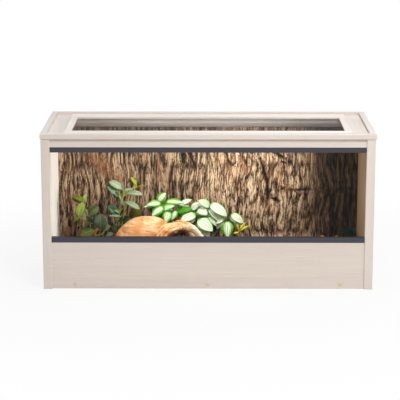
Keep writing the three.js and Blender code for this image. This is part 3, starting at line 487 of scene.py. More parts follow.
def driftwood_skin(rock):
    """Weathered wood: grain and cracks that follow the branch, darker in the hollows, with painted
    highlights on pale patches and on the right leg, and painted shade, nearly black, under the arch.

    The attribute run holds the share of the way along the branch, the way round it, and how far
    the place looks down.
    """
    paint = Paint("driftwood_skin")
    run = paint.attribute("run", "Vector")
    grain = paint.noise((9, 12, 1), 5.0, 0.65, 1.2, vector=run)
    hollow_and_shade = paint.attribute("height")
    patch = paint.noise(42, 4.0, 0.6)
    share, _, under = paint.parts(run)
    # The right leg is paler: painted light.
    painted_highlight = paint.stretch(share, 0.52, 0.7)
    tone = 0.5 + (hollow_and_shade - 0.5) * 0.7 + (grain - 0.5) * 0.8 + (patch - 0.5) * 1.3 + painted_highlight * 0.6
    colour = paint.ramp(tone, (0.1, rock.wood_grain_and_shade), (0.5, rock.wood), (0.95, rock.wood_highlight))
    # Painted shade under the arch, nearly black.
    colour = paint.mix((under * 1.5).limited(), colour, UNDER_ARCH_SHADE)
    bump = paint.bump(grain + patch, 2.5 * MM, 0.8)
    return paint.finish(colour, 0.66 + 0.2 * patch, Normal=bump)


def leaf_skin(name, roughness):
    """Leaf: its own tint, a pale midrib and side veins, and a little uneven green.

    The attribute blade holds the share of the way to the tip, the way across from -1 to 1, and
    how pale the leaf is. The side veins are where a sine of the way along, set back towards the
    rims so that they slant, crosses 0.
    """
    paint = Paint(name)
    tint = paint.attribute("tint", "Color")
    along, across, _ = paint.parts(paint.attribute("blade", "Vector"))
    side = abs(across)
    midrib = paint.stretch(side, 0.09, 0.02)
    comb = abs(((along - 0.42 * side) * 22.0).sine())
    veins = paint.stretch(comb, 0.16, 0.02) * paint.stretch(side, 1.0, 0.7)
    mottle = paint.noise(160)
    dark = paint.mix(1.0, tint, (0.62, 0.66, 0.6, 1.0), "MULTIPLY")
    pale = paint.mix(1.0, tint, (1.9, 1.9, 1.5, 1.0), "MULTIPLY")
    colour = paint.mix(paint.stretch(mottle, 0.35, 0.65) * 0.55, tint, dark)
    colour = paint.mix((midrib * 0.8 + veins * 0.45).limited(), colour, pale)
    bump = paint.bump(mottle * 0.3 - veins - midrib, 0.5 * MM, 0.6)
    return paint.finish(colour, roughness, Normal=bump, Specular_IOR_Level=0.25)


def striped_leaf_skin():
    """Leaf with a green rim, and white bands between green veins that run from base to tip.

    The paler the leaf, the nearer to its rim the bands reach.
    """
    paint = Paint("striped_leaf_skin")
    tint = paint.attribute("tint", "Color")
    along, across, pale = paint.parts(paint.attribute("blade", "Vector"))
    wobble = paint.noise(130, 2.0)
    lanes = abs(((across + (wobble - 0.5) * 0.1) * (math.pi * 2.5)).sine())
    white = paint.stretch(lanes, 0.2, 0.5) * paint.stretch(along, 0.02, 0.16)
    white = white * paint.stretch(abs(across) - 0.34 * pale, 0.62, 0.44)
    colour = paint.mix((white * 0.96).limited(), tint, linear((1.0, 1.0, 0.94)))
    bump = paint.bump(lanes, 1.2 * MM, 0.7)
    return paint.finish(colour, 0.34 + 0.1 * wobble, Normal=bump, Specular_IOR_Level=0.3)


def stem_skin(name, colour):
    """Stalk: fine lengthwise streaks in two greens."""
    paint = Paint(name)
    streak = paint.noise((300, 300, 60), 2.0)
    return paint.finish(paint.shades(streak, colour, 0.6), 0.5)


# -------- surfaces
def ease(t):
    """0 to 1 with a level start and end: three squares less two cubes."""
    return t * t * (3 - 2 * t)


def spread(low, high, columns, rows):
    """A grid over a rectangle: its two coordinates, and both again as shares from 0 to 1."""
    x, y = np.meshgrid(np.linspace(low[0], high[0], columns), np.linspace(low[1], high[1], rows))
    return x, y, (x - low[0]) / (high[0] - low[0]), (y - low[1]) / (high[1] - low[1])


def patchwork(u, v, across, up, rng):
    """Smooth noise from 0 to 1: random heights at the corners of across by up cells, eased between.

    u and v are whole arrays of places from 0 to 1.
    """
    heights = rng.random((up + 2, across + 2))
    x = np.clip(u, 0, 1) * across
    y = np.clip(v, 0, 1) * up
    i = x.astype(int)
    j = y.astype(int)
    right = ease(x - i)
    above = ease(y - j)
    low = heights[j, i] * (1 - right) + heights[j, i + 1] * right
    high = heights[j + 1, i] * (1 - right) + heights[j + 1, i + 1] * right
    return low * (1 - above) + high * above


# How a value with that many numbers a point is kept in a mesh: the attribute's type and its field.
ATTRIBUTES = {1: ("FLOAT", "value"), 3: ("FLOAT_VECTOR", "vector"), 4: ("FLOAT_COLOR", "color")}


def mesh_piece(name, points, faces, materials, slot, replaced=(), body="cabinet", values=None, smooth=True):
    """Puts points and faces into a mesh, gives its points the named values, and mounts it."""
    mesh = bpy.data.meshes.new(name)
    mesh.from_pydata(np.asarray(points, np.float32).tolist(), [], faces)
    for key, value in (values or {}).items():
        value = np.asarray(value, np.float32)
        kind, field = ATTRIBUTES[value.size // len(value)]
        mesh.attributes.new(key, kind, "POINT").data.foreach_set(field, value.ravel())
    mesh.polygons.foreach_set("use_smooth", np.full(len(mesh.polygons), smooth))
    for material in materials:
        mesh.materials.append(material)
    mesh.update()
    piece = bpy.data.objects.new(name, mesh)
    bpy.context.scene.collection.objects.link(piece)
    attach(piece, body)
    if replaced:
        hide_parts(*replaced)
    return piece


def grid_faces(rows, columns):
    """Quads of a sheet of rows by columns points, facing where its columns cross its rows."""
    corner = (np.arange(rows - 1)[:, None] * columns + np.arange(columns - 1)).ravel()
    return np.stack([corner, corner + 1, corner + columns + 1, corner + columns], 1)


def backed_sheet(sheet, axis, plane):
    """A closed body from a sheet of points (rows, columns, 3): its border goes back to a flat plane.

    The flat face is one polygon through the border's points, as the border is a rectangle there.
    """
    rows, columns = sheet.shape[:2]
    number = np.arange(rows * columns).reshape(rows, columns)
    border = np.concatenate([number[0, :-1], number[:-1, -1], number[-1, :0:-1], number[:0:-1, 0]])
    back = sheet.reshape(-1, 3)[border].copy()
    back[:, axis] = plane
    points = np.concatenate([sheet.reshape(-1, 3), back])
    first = rows * columns
    count = len(border)
    ring = np.arange(count)
    after = (ring + 1) % count
    walls = np.stack([border, first + ring, first + after, border[after]], 1)
    faces = np.concatenate([grid_faces(rows, columns), walls]).tolist()
    faces.append((first + ring[::-1]).tolist())
    return points, faces


def bar_faces(count, rings, turned=False):
    """Faces of square bars, each of that many rings of 4 corners; turned, they face the other way."""
    quads = [
        [ring + k, ring + (k + 1) % 4, ring + 4 + (k + 1) % 4, ring + 4 + k]
        for ring in range(0, 4 * rings - 4, 4)
        for k in range(4)
    ]
    last = 4 * rings - 4
    quads = np.array(quads + [[3, 2, 1, 0], [last, last + 1, last + 2, last + 3]])
    faces = (4 * rings * np.arange(count))[:, None, None] + (quads[:, ::-1] if turned else quads)
    return faces.reshape(-1, 4).tolist()


def skin(rings, start, end):
    """Points and faces of a closed skin: rings (n, m, 3) in a row, and a point at each end."""
    n, m = rings.shape[:2]
    points = np.concatenate([rings.reshape(-1, 3), [start, end]])
    ring = np.arange(m)
    after = (ring + 1) % m
    base = (np.arange(n - 1) * m)[:, None]
    walls = np.stack([base + ring, base + after, base + m + after, base + m + ring], 2).reshape(-1, 4)
    last = (n - 1) * m
    ends = np.concatenate([
        np.stack([np.full(m, n * m), after, ring], 1),
        np.stack([np.full(m, n * m + 1), last + ring, last + after], 1),
    ])
    return points, walls.tolist() + ends.tolist()


def smooth_line(points, steps):
    """A curve through the points (Catmull-Rom): each stretch is the cubic whose slope at a point
    is half the way from the point before to the point after."""
    points = np.asarray(points, float)
    padded = np.concatenate([[2 * points[0] - points[1]], points, [2 * points[-1] - points[-2]]])
    place = np.linspace(0, len(points) - 1, steps)
    k = np.minimum(place.astype(int), len(points) - 2)
    t = (place - k)[:, None]
    a, b, c, d = (padded[k + step] for step in range(4))
    square = 2 * a - 5 * b + 4 * c - d
    cube = 3 * b - a - 3 * c + d
    return 0.5 * (2 * b + (c - a) * t + square * t ** 2 + cube * t ** 3)


def unit(rows):
    """The same vectors, each with a length of 1."""
    return rows / np.linalg.norm(rows, axis=1)[:, None]


def turns(sides):
    """The angles of that many even steps round a circle, as one row."""
    return (np.arange(sides) / sides * 2 * math.pi)[None]


def pipe(line, aside, angle, reach):
    """A closed skin round a line: at each point a ring square to it, with its reach at each angle
    from aside."""
    over = np.cross(unit(np.gradient(line, axis=0)), aside)
    spoke = np.cos(angle)[..., None] * aside[:, None] + np.sin(angle)[..., None] * over[:, None]
    return skin(line[:, None] + reach[..., None] * spoke, line[0], line[-1])


OFF_STALKS = (0.31, 0.87, 0.39)  # a way that no stalk takes


def tube(line, radius, sides):
    """A round stalk along a line, with its radius at each point."""
    aside = unit(np.cross(unit(np.gradient(line, axis=0)), OFF_STALKS))
    return pipe(line, aside, turns(sides), radius[:, None])


class Bunch:
    """Collects the parts of one piece: points, faces, values at the points, and for each face the
    number of its material, which is its kind."""

    def __init__(self):
        self.points = []
        self.faces = []
        self.kinds = []
        self.values = {}
        self.count = 0

    def add(self, points, faces, kind, **values):
        """Adds a part whose faces count from its own first point."""
        self.points.append(points)
        self.faces.extend([corner + self.count for corner in face] for face in faces)
        self.kinds.extend([kind] * len(faces))
        for key, value in values.items():
            self.values.setdefault(key, []).append(value)
        self.count += len(points)

    def piece(self, name, materials, slot, replaced=(), **more):
        """Makes one mesh of all the parts."""
        values = {key: np.concatenate(value) for key, value in self.values.items()}
        points = np.concatenate(self.points)
        made = mesh_piece(name, points, self.faces, materials, slot, replaced, values=values, **more)
        made.data.polygons.foreach_set("material_index", self.kinds)


# -------- lid mesh
def bars(span, ends, size, axis, level):
    """Square wires in steps of one pitch over a span of the axis, with their middles at a level.

    A block holds the corners of all of them: wire, end, corner, coordinate.
    """
    spots = np.linspace(*span, int((span[1] - span[0]) / size.pitch))
    corner = np.array([[0, 0], [1, 0], [1, 1], [0, 1]], float) - 0.5
    block = np.zeros((len(spots), 2, 4, 3))
    block[..., axis] = spots[:, None, None] + size.wire * corner[:, 0]
    block[..., 1 - axis] = np.array(ends)[None, :, None]
    block[..., 2] = level + size.wire * corner[:, 1]
    return block.reshape(-1, 3), bar_faces(len(spots), 2, turned=axis == 0)


def wires(size):
    """Two layers of straight wires over the lid's opening: one along Y, and one along X on top."""
    low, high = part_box("lid_mesh")
    across = (low.x + size.wire, high.x - size.wire)
    back = (low.y + size.wire, high.y - size.wire)
    top = high.z - size.wire
    bunch = Bunch()
    bunch.add(*bars(across, back, size, 0, top - size.wire), 0)
    bunch.add(*bars(back, across, size, 1, top), 0)
    return bunch


# -------- bark
# Marks on the bark: (start x, start z, end x, end z, half width, lift), in mm. A mark with a
# negative lift is a long crack. The others are roots and twigs that lie on the face.
BARK_MARKS = [
    (-398, 366, -292, 251, 20, 6), (168, 332, 190, 262, 5, -9), (190, 262, 194, 196, 5, -9),
    (232, 322, 236, 244, 4, 5), (236, 244, 274, 236, 2.5, 4), (274, 236, 296, 218, 2.5, 4),
    (296, 218, 322, 222, 2.5, 4), (282, 226, 318, 230, 4, -6), (212, 352, 252, 330, 3.5, -7),
    (236, 322, 250, 318, 3, -7), (206, 200, 232, 190, 4, -7), (-160, 330, -150, 262, 5, 3),
    (-60, 352, -40, 300, 4, -5), (60, 352, 66, 318, 4, -6), (100, 340, 122, 296, 4, 3),
]


def ridge(u, v, across, up, rng):
    """Rounded ridges from 0 to 1 with a sharp furrow where a noise crosses its middle value."""
    return np.sqrt(np.abs(2 * patchwork(u, v, across, up, rng) - 1))


def mark_shape(x, z, mark):
    """1 on the mark's line, falling as a bell to 0 away from it."""
    x0, z0, x1, z1, width = np.array(mark[:5]) * MM
    length = math.hypot(x1 - x0, z1 - z0)
    ahead = ((x1 - x0) / length, (z1 - z0) / length)
    along = (x - x0) * ahead[0] + (z - z0) * ahead[1]
    away = (x - x0) * ahead[1] - (z - z0) * ahead[0]
    past = along - np.clip(along, 0, length)
    return np.exp(-(away ** 2 + past ** 2) / width ** 2)


BARK_RELIEF = 12 * MM  # from the bottoms of the furrows to the tops of the ridges
BARK_SWELL = 4 * MM
BARK_INSET = 5 * MM  # how far the bottoms of the furrows lie behind the mean face
BARK_FLAT = 13 * MM  # the bark is flat up to here over the bed
BARK_RISE = 30 * MM  # and has its whole relief this much higher up


def bark_surface(size, rng):
    """The bark's face: each point's place, its height from 0 to 1 and its share of rust.

    Furrows run where a noise stretched upwards crosses its middle value, in three sizes. Right of
    the middle the wide ones are shorter, so that the ridges break into chunks. A slow swell and the
    marks lie under them, and the foot is flat behind the bed.
    """
    low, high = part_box("bark_background")
    x, z, u, v = spread((low.x, low.z), (high.x, high.z), size.columns + 1, size.rows + 1)
    sway = 30 * MM * (patchwork(u, v, 9, 4, rng) - 0.5)
    sway = sway + 6 * MM * (patchwork(u, v, 40, 11, rng) - 0.5)
    swayed = np.clip(u + sway / (high.x - low.x), 0, 1)
    chunky = ease(np.clip((x + 20 * MM) / (160 * MM), 0, 1))
    chunky = chunky * ease(np.clip((420 * MM - x) / (120 * MM), 0, 1))
    long_ridge = ridge(swayed, v, 118, 5, rng)
    short_ridge = ridge(swayed, v, 100, 9, rng)
    wide = long_ridge * (1 - chunky) + short_ridge * chunky
    middle = ridge(swayed, v, 205, 8, rng)
    fine = ridge(swayed, v, 345, 15, rng)
    lift = patchwork(swayed, v, 90, 14, rng)
    swell = patchwork(u, v, 12, 4, rng)
    rough = patchwork(u, v, 330, 100, rng)
    height = 0.38 * wide + 0.28 * middle + 0.16 * fine + 0.12 * lift + 0.06 * rough
    marks = [(mark_shape(x, z, mark), mark[5] * MM) for mark in BARK_MARKS]
    carved = sum(shape * lift_of for shape, lift_of in marks)
    raised = sum(shape for shape, lift_of in marks if lift_of > 0)
    cracked = np.clip(sum(shape for shape, lift_of in marks if lift_of < 0), 0, 1)
    relief = BARK_RELIEF * height + BARK_SWELL * swell + carved
    rust = 0.4 * np.clip(patchwork(u, v, 30, 12, rng) * 2.6 - 1.5, 0, 1) + 1.3 * raised
    foot = ease(np.clip((z - BED_TOP - BARK_FLAT) / BARK_RISE, 0, 1))
    y = BARK_FRONT + BARK_INSET * foot - foot * relief
    height = (height - 0.26) / 0.5 * (1 - 0.8 * cracked)
    height = height + 0.75 * np.clip(raised, 0, 1) * (0.62 - height)
    return np.stack([x, y, z], 2), np.clip(height, 0, 1), np.clip(rust, 0, 1)


# -------- bed
BED_COLUMNS = 420
BED_ROWS = 150


def ground(x, y):
    """Level of the substrate: low mounds that rise to the back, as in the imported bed."""
    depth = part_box("rim_back")[1].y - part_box("rim_front")[0].y - 2 * RIM_PROUD
    waves = 0.5 + 0.25 * np.sin(x / (61 * MM) + 1) + 0.25 * np.sin(x / (37 * MM) + y / (41 * MM))
    return BED_TOP + MOUND * (0.5 + y / depth) * waves


def bed_surface(rng):
    """The substrate: the ground level with crumbs of two sizes on it."""
    low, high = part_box("substrate_bed")
    x, y, u, v = spread(low, high, BED_COLUMNS, BED_ROWS)
    crumbs = patchwork(u, v, 200, 70, rng) + 0.6 * patchwork(u, v, 60, 24, rng)
    z = ground(x, y) + 2.4 * MM * (crumbs - 0.9)
    return np.stack([x, y, z], 2)


def chip_shapes(count, rng):
    """Bark chips: bent bars of random length, width and turn, resting on the ground.

    Each has 3 rings of 4 corners; the middle ring is lifted or dropped so that the chip bends.
    """
    low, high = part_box("substrate_bed")
    length = rng.uniform(9, 26, count) * MM
    width = length * rng.uniform(0.3, 0.55, count)
    thick = rng.uniform(1.6, 4.0, count) * MM
    margin = 15 * MM
    x = rng.uniform(low.x + margin, high.x - margin, count)
    y = rng.uniform(low.y + margin, high.y - margin, count)
    turn = rng.uniform(0, 2 * math.pi, count)
    tip = rng.normal(0, 0.22, count)
    along = np.array([-0.5, 0.0, 0.5])
    corner = np.array([[-0.5, -0.5], [0.5, -0.5], [0.5, 0.5], [-0.5, 0.5]])
    narrow = rng.uniform(0.5, 1.0, (count, 3))
    bend = rng.uniform(-0.12, 0.2, count)[:, None] * length[:, None] * (1 - 4 * along ** 2)
    local_x = (length[:, None] * along)[:, :, None] + np.zeros((count, 3, 4))
    local_y = width[:, None, None] * narrow[:, :, None] * corner[:, 0]
    local_z = thick[:, None, None] * corner[:, 1] + bend[:, :, None]
    local_z = local_z + local_x * np.tan(tip)[:, None, None]
    cos, sin = np.cos(turn)[:, None, None], np.sin(turn)[:, None, None]
    points = np.stack([
        x[:, None, None] + local_x * cos - local_y * sin,
        y[:, None, None] + local_x * sin + local_y * cos,
        local_z + (ground(x, y) + 0.8 * MM)[:, None, None],
    ], 3)
    shade = np.repeat(rng.random(count), 12)
    return points.reshape(-1, 3), bar_faces(count, 3), shade


# -------- stone and driftwood
STONE_HALF_WIDTH = 93 * MM
STONE_MIDDLE = LEFT_WALL + 274 * MM
STONE_LEVELS = 44
STONE_SIDES = 96


def stone_surface(rock, rng):
    """Domed stone: stacked ovals whose size falls as a cosine and whose level rises as a sine,
    with slow dents and facets. The crest leans to the right."""
    low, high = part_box("basking_stone")
    half_depth = (high.y - low.y) / 2
    middle_y = (low.y + high.y) / 2
    foot = BED_TOP + MOUND
    rise_angle = np.linspace(0, math.pi / 2 * 0.985, STONE_LEVELS)[:, None]
    angle = turns(STONE_SIDES)
    reach = np.cos(rise_angle) ** 0.8
    rise = np.sin(rise_angle) ** 0.9
    swirl = 0.5 * np.sin(2 * angle + 3 * rise) + 0.5 * np.sin(3 * angle + 1)
    around, up = np.broadcast_arrays(np.abs(angle / math.pi - 1), rise)
    facets = patchwork(around, up, 7, 5, rng) + 0.4 * patchwork(around, up, 26, 18, rng)
    dents = 1 + 0.03 * swirl * rise + 0.07 * (facets - 0.7) * (1 - rise ** 4)
    x = STONE_MIDDLE + rock.lean * rise + STONE_HALF_WIDTH * reach * dents * np.cos(angle)
    y = middle_y + half_depth * reach * dents * np.sin(angle)
    z = foot + (high.z - foot) * rise + 0.9 * MM * np.sin(5 * angle + 6 * rise) * (1 - rise)
    rings = np.stack(np.broadcast_arrays(x, y, z), 2)
    floor_ring = rings[:1].copy()
    floor_ring[..., 2] = low.z
    rings = np.concatenate([floor_ring, rings])
    start = (STONE_MIDDLE, middle_y, low.z)
    end = (STONE_MIDDLE + rock.lean, middle_y, rings[-1, :, 2].max() + 0.3 * MM)
    points, faces = skin(rings, start, end)
    height = (points[:, 2] - foot) / (high.z - foot)
    return points, faces, np.clip(height, 0, 1)


# Middle line of the driftwood, in mm right of its left foot, behind it and above the bed, and its
# radius in mm at even steps along that line.
DRIFTWOOD_FOOT = (LEFT_WALL + 330 * MM, BARK_FRONT - 214 * MM)
DRIFTWOOD_LINE = [
    (0, 0, -6), (1, 1, 30), (20, 12, 69), (62, 32, 86), (104, 44, 70), (129, 50, 30), (133, 51, -6),
]
DRIFTWOOD_RADII = (16, 17, 21, 23, 20, 18, 17)
DRIFTWOOD_STEPS = 150
DRIFTWOOD_SIDES = 72


def driftwood_surface(rng):
    """Arched branch: rings square to its middle line, with lobes that twist along it, lengthwise
    grooves, and dents that are deepest half way along.

    Gives points, faces, the hollowness of each place less a painted shade under the arch, and its run for
    the finish.
    """
    line = smooth_line(np.array(DRIFTWOOD_LINE) * MM + (*DRIFTWOOD_FOOT, BED_TOP), DRIFTWOOD_STEPS)
    share = np.linspace(0, 1, len(line))
    radius = np.interp(share, np.linspace(0, 1, len(DRIFTWOOD_RADII)), DRIFTWOOD_RADII) * MM
    ahead = unit(np.gradient(line, axis=0))
    back = unit(np.array((0.0, 1.0, 0.0)) - ahead * ahead[:, 1:2])
    angle = turns(DRIFTWOOD_SIDES)
    arch = np.sin(math.pi * share)[:, None]
    along, loop = np.broadcast_arrays(share[:, None], np.abs(angle / math.pi - 1))
    lobes = 0.15 * arch * np.sin(3 * angle + 9 * along + 1.2)
    grooves = 0.016 * np.sin(11 * angle + 9 * along)
    dents = 0.42 * (patchwork(along, loop, 11, 3, rng) - 0.5)
    dents = dents + 0.2 * (ridge(along, loop, 26, 7, rng) - 0.5)
    dents = dents + 0.1 * (patchwork(along, loop, 70, 22, rng) - 0.5)
    points, faces = pipe(line, back, angle, radius[:, None] * (1 + lobes + grooves + dents * arch))
    # The underside of the arch is darkened: painted shade.
    under = np.clip(-np.sin(angle) - 0.2, 0, 1) * arch
    hollow_and_shade = np.clip(0.5 + 2.4 * (lobes * 0.4 + grooves + dents), 0, 1) - 1.1 * under
    hollow_and_shade = np.append(hollow_and_shade.ravel(), (0.5, 0.5))
    run = np.stack([along, loop, under], 2).reshape(-1, 3)
    run = np.concatenate([run, [[0, 0, 0], [1, 0, 0]]])
    return points, faces, hollow_and_shade, run


# -------- plants
# Display colours of the leaves.
TINTS = {
    "olive": (104, 100, 2), "olive_dark": (74, 80, 6), "pale_green": (158, 176, 80),
    "dusty": (104, 118, 64), "blue_grey": (96, 112, 88), "dark": (40, 62, 36),
    "silver": (142, 158, 122), "silver_shade": (110, 136, 98), "teal": (52, 78, 50),
    "lime": (140, 158, 12), "green": (104, 196, 0), "fresh": (120, 204, 30), "glossy": (80, 168, 8),
    "yellow": (228, 206, 34), "corner": (36, 50, 28), "dry": (204, 124, 62),
    "dry_dark": (132, 84, 46),
}
# Tints whose leaves are rounder, and tints whose leaves are striped, with how pale those are.
ROUND = {"blue_grey", "silver", "silver_shade", "olive_dark", "dusty"}
STRIPED = {"green": 0.0, "fresh": 1.0}
LEAF, STALK, STRIPED_LEAF = range(3)  # the order of a plant's materials
BLADE_STEPS = 14
BLADE_LANES = 9
STEM_STEPS = 24
STALK_STEPS = 12
LEAF_FACING = (0.0, -0.8, 0.6)  # leaves turn to the front and upwards
IN_SHADE = 0.6  # brightness of the leaves that fill a plant

# A stem is a row of points and a leaf is (where its blade starts, where it ends, its width, its tint).
# Points are millimetres right of the plant's crown, behind it and above the bed. Fill is how many leaves
# stand behind its own ones, and the count of shade leaves how many dark ones stand among its stems, where
# they paint the shade.
PLANTS = {
    "broad_leaf_plant": {
        "crown": (LEFT_WALL + 112 * MM, BARK_FRONT - 82 * MM),
        "slot": "broad_leaf",
        "fill": 5,
        "undergrowth": 8,
        "stalk": (142, 158, 52),
        "stems": [
            [(0, 0, 8), (-7, 2, 73), (-27, 7, 138)],
            [(0, 0, 8), (20, -4, 33), (28, -7, 55)],
            [(20, -4, 33), (34, -2, 41), (39, 1, 47)],
        ],
        "leaves": [
            ((-28, 7, 146), (-62, -3, 164), 20, "olive"),
            ((-27, 7, 144), (-18, 13, 168), 12, "pale_green"),
            ((-44, -3, 98), (-28, 6, 143), 27, "pale_green"),
            ((-43, -5, 96), (-60, -13, 79), 11, "olive"), ((-18, 7, 118), (7, 17, 133), 9, "dark"),
            ((-14, 6, 112), (10, 12, 138), 8, "dusty"), ((-8, 5, 98), (21, 12, 122), 25, "dusty"),
            ((-4, 0, 90), (-18, -10, 66), 12, "olive"), ((29, -8, 56), (30, -14, 108), 46, "blue_grey"),
            ((6, -10, 52), (-37, -28, 40), 38, "olive_dark"), ((38, 2, 48), (57, 9, 65), 17, "dusty"),
            ((45, -8, 34), (68, -13, 42), 17, "blue_grey"),
        ],
    },
    "grey_leaf_sprig": {
        "crown": (LEFT_WALL + 194 * MM, BARK_FRONT - 62 * MM),
        "slot": "grey_leaf",
        "fill": 3,
        "undergrowth": 10,
        "stalk": (166, 178, 44),
        "stems": [
            [(0, 0, 8), (2, -2, 78), (13, -4, 138), (24, 1, 170), (59, 6, 190)],
            [(0, 0, 8), (26, 8, 66), (52, 7, 84)],
            [(13, -5, 138), (6, -1, 166), (10, 2, 184)],
            [(4, 2, 8), (12, -4, 60), (24, -6, 118), (34, -2, 150)],
            [(-3, -2, 8), (-6, -6, 52), (2, -10, 96), (16, -12, 122)],
        ],
        "leaves": [
            ((11, 2, 184), (-26, -8, 208), 27, "silver"),
            ((4, 0, 160), (-32, -10, 192), 22, "silver_shade"),
            ((4, -4, 158), (-18, -8, 176), 16, "teal"), ((16, 4, 176), (51, 10, 179), 9, "silver"),
            ((30, 4, 168), (79, -4, 165), 19, "silver"), ((27, -3, 140), (71, -16, 120), 19, "silver"),
            ((-2, -8, 101), (-32, -16, 130), 30, "teal"),
            ((8, -8, 104), (-12, -12, 118), 12, "silver_shade"),
            ((20, -6, 128), (10, -10, 152), 10, "silver_shade"),
            ((11, -14, 95), (-28, -24, 99), 9, "silver_shade"),
            ((61, 6, 192), (42, 10, 220), 11, "lime"), ((65, 6, 189), (88, 2, 192), 6, "lime"),
            ((53, 5, 84), (70, 10, 128), 38, "olive"), ((6, 4, 66), (44, 2, 86), 12, "teal"),
            ((4, 2, 50), (36, -4, 70), 10, "teal"),
        ],
    },
    "striped_leaf_plant_left": {
        "crown": (LEFT_WALL + 372 * MM, BARK_FRONT - 58 * MM),
        "slot": "striped_leaf",
        "fill": 9,
        "undergrowth": 9,
        "stalk": (112, 150, 60),
        "stems": [[(0, 0, 8), (-2, 0, 68), (-6, -2, 110)]],
        "leaves": [
            ((-39, -2, 134), (-85, -17, 132), 25, "green"),
            ((-48, 6, 138), (-24, 10, 166), 29, "green"), ((-24, 3, 138), (34, -12, 138), 22, "green"),
            ((-32, -10, 124), (-68, -28, 99), 30, "green"), ((-38, 0, 112), (6, -18, 130), 26, "green"),
            ((-14, -14, 112), (-23, -32, 76), 33, "green"),
            ((11, -2, 106), (62, -14, 118), 23, "glossy"), ((22, 8, 128), (60, 6, 145), 19, "fresh"),
            ((10, -6, 112), (-4, -20, 82), 22, "green"), ((-4, 6, 122), (-50, 10, 118), 22, "glossy"),
            ((20, 2, 116), (46, -10, 90), 24, "green"),
        ],
    },
    "striped_leaf_plant_right": {
        "crown": (LEFT_WALL + 490 * MM, BARK_FRONT - 58 * MM),
        "slot": "striped_leaf",
        "fill": 9,
        "undergrowth": 9,
        "stalk": (112, 150, 60),
        "stems": [
            [(0, 0, 8), (-2, 0, 58), (-6, -2, 98)],
            [(0, 0, 8), (30, -2, 53), (54, -6, 83)],
        ],
        "leaves": [
            ((-45, -8, 99), (-95, -26, 82), 34, "fresh"), ((-38, 0, 116), (-8, -20, 101), 32, "fresh"),
            ((-39, -16, 84), (9, -33, 50), 45, "fresh"), ((-1, 0, 123), (-37, -10, 146), 29, "fresh"),
            ((0, 0, 132), (55, -20, 96), 38, "fresh"), ((45, -8, 88), (20, -18, 70), 18, "fresh"),
            ((58, -14, 79), (56, -32, 28), 38, "green"), ((68, -4, 100), (108, -18, 72), 29, "fresh"),
            ((-60, 8, 110), (-34, 12, 134), 24, "fresh"), ((-24, 6, 108), (-60, 4, 90), 24, "glossy"),
            ((14, 4, 104), (44, 0, 74), 24, "green"), ((-6, -4, 92), (22, -16, 62), 22, "green"),
        ],
    },
    "yellow_shoots": {
        "crown": (LEFT_WALL + 584 * MM, BARK_FRONT - 80 * MM),
        "slot": "yellow_shoot",
        "stalk": (204, 190, 40),
        "stems": [[(0, 0, 8), (-2, 0, 34), (-1, 0, 50)]],
        "leaves": [
            ((1, 1, 54), (22, 5, 77), 6, "yellow"), ((-2, 0, 54), (-8, 5, 74), 7, "yellow"),
            ((3, -2, 50), (33, -4, 68), 7, "yellow"), ((-2, -2, 44), (-20, -6, 42), 6, "yellow"),
        ],
    },
    "dark_leaf_plant": {
        "crown": (RIGHT_WALL - 25 * MM, BARK_FRONT - 52 * MM),
        "slot": "dark_leaf",
        "stalk": (60, 78, 44),
        "stems": [[(0, 0, 6), (1, -1, 20), (0, -1, 30)]],
        "leaves": [
            ((-4, -2, 28), (-34, -12, 50), 25, "corner"), ((2, -3, 29), (17, -12, 56), 24, "corner"),
            ((-2, 4, 30), (-9, 12, 58), 25, "corner"), ((-4, -8, 24), (-19, -32, 32), 20, "corner"),
        ],
    },
}


def blade(start, end, width, tint, rng, light=1.0):
    """A leaf: across it a shallow V whose sides droop, along it an arch.

    The half width grows and falls as a sine of the way along to a power: a low power gives a round
    leaf. Each section is a thin lens: up one face and back along the other. Light is the share of
    its tint's brightness that it shows.

    Gives points, faces, and the place on the blade and the colour of each point.
    """
    length = np.linalg.norm(end - start)
    ahead = (end - start) / length
    side = np.cross(LEAF_FACING, ahead)
    side /= np.linalg.norm(side)
    face = np.cross(ahead, side)
    t = np.linspace(0.02, 0.99, BLADE_STEPS)[:, None]
    s = np.linspace(-1, 1, BLADE_LANES)[None]
    fullness, skew = (0.5, 1.0) if tint in ROUND else (0.68, 0.82)
    half = (width / 2) * np.sin(math.pi * t ** skew) ** fullness
    wave = 0.07 * np.sin(2.2 * math.pi * t + rng.uniform(0, 6)) * s
    arch = length * 0.09 * np.sin(math.pi * t)
    rise = half * (0.34 * np.abs(s) - 0.2 * s ** 2 + wave)
    thick = 0.45 * MM * (1 - s ** 2)
    centre = start + ahead * (length * t)[..., None] + side * (half * s)[..., None]
    upper, lower = (centre + face * (arch + rise + offset)[..., None] for offset in (thick, -thick))
    points, faces = skin(np.concatenate([upper, lower[:, -2:0:-1]], 1)[:, ::-1], start, end)
    lane = np.concatenate([s[0], s[0, -2:0:-1]])[::-1]
    pale = STRIPED.get(tint, 0.0)
    place = np.stack(np.broadcast_arrays(t, lane[None], pale), 2).reshape(-1, 3)
    place = np.concatenate([place, [[0, 0, pale], [1, 0, pale]]])
    shade = np.array(linear(np.array(TINTS[tint]) / 255))
    shade[:3] *= light * rng.uniform(0.78, 1.14)
    return points, faces, place, np.tile(shade, (len(points), 1))


def filling(facts, rng):
    """Leaves that fill a plant: smaller ones behind and below its own, and dark ones among its stems that
    paint the shade there."""
    made = []
    for start, end, width, tint in facts["leaves"][: facts.get("fill", 0)]:
        shift = rng.uniform((-9, 5, -13), (9, 11, -5))
        swing = rng.uniform((-12, 0, -12), (12, 6, 6))
        made.append((np.add(start, shift), np.add(end, shift + swing), width * 0.86, tint))
    for _ in range(facts.get("undergrowth", 0)):
        start = rng.uniform((-16, -8, 26), (16, 10, 80))
        swing = rng.uniform((14, -14, 4), (34, 8, 26)) * (rng.choice((-1, 1)), 1, 1)
        made.append((start, start + swing, rng.uniform(8, 15), "dark"))
    return made


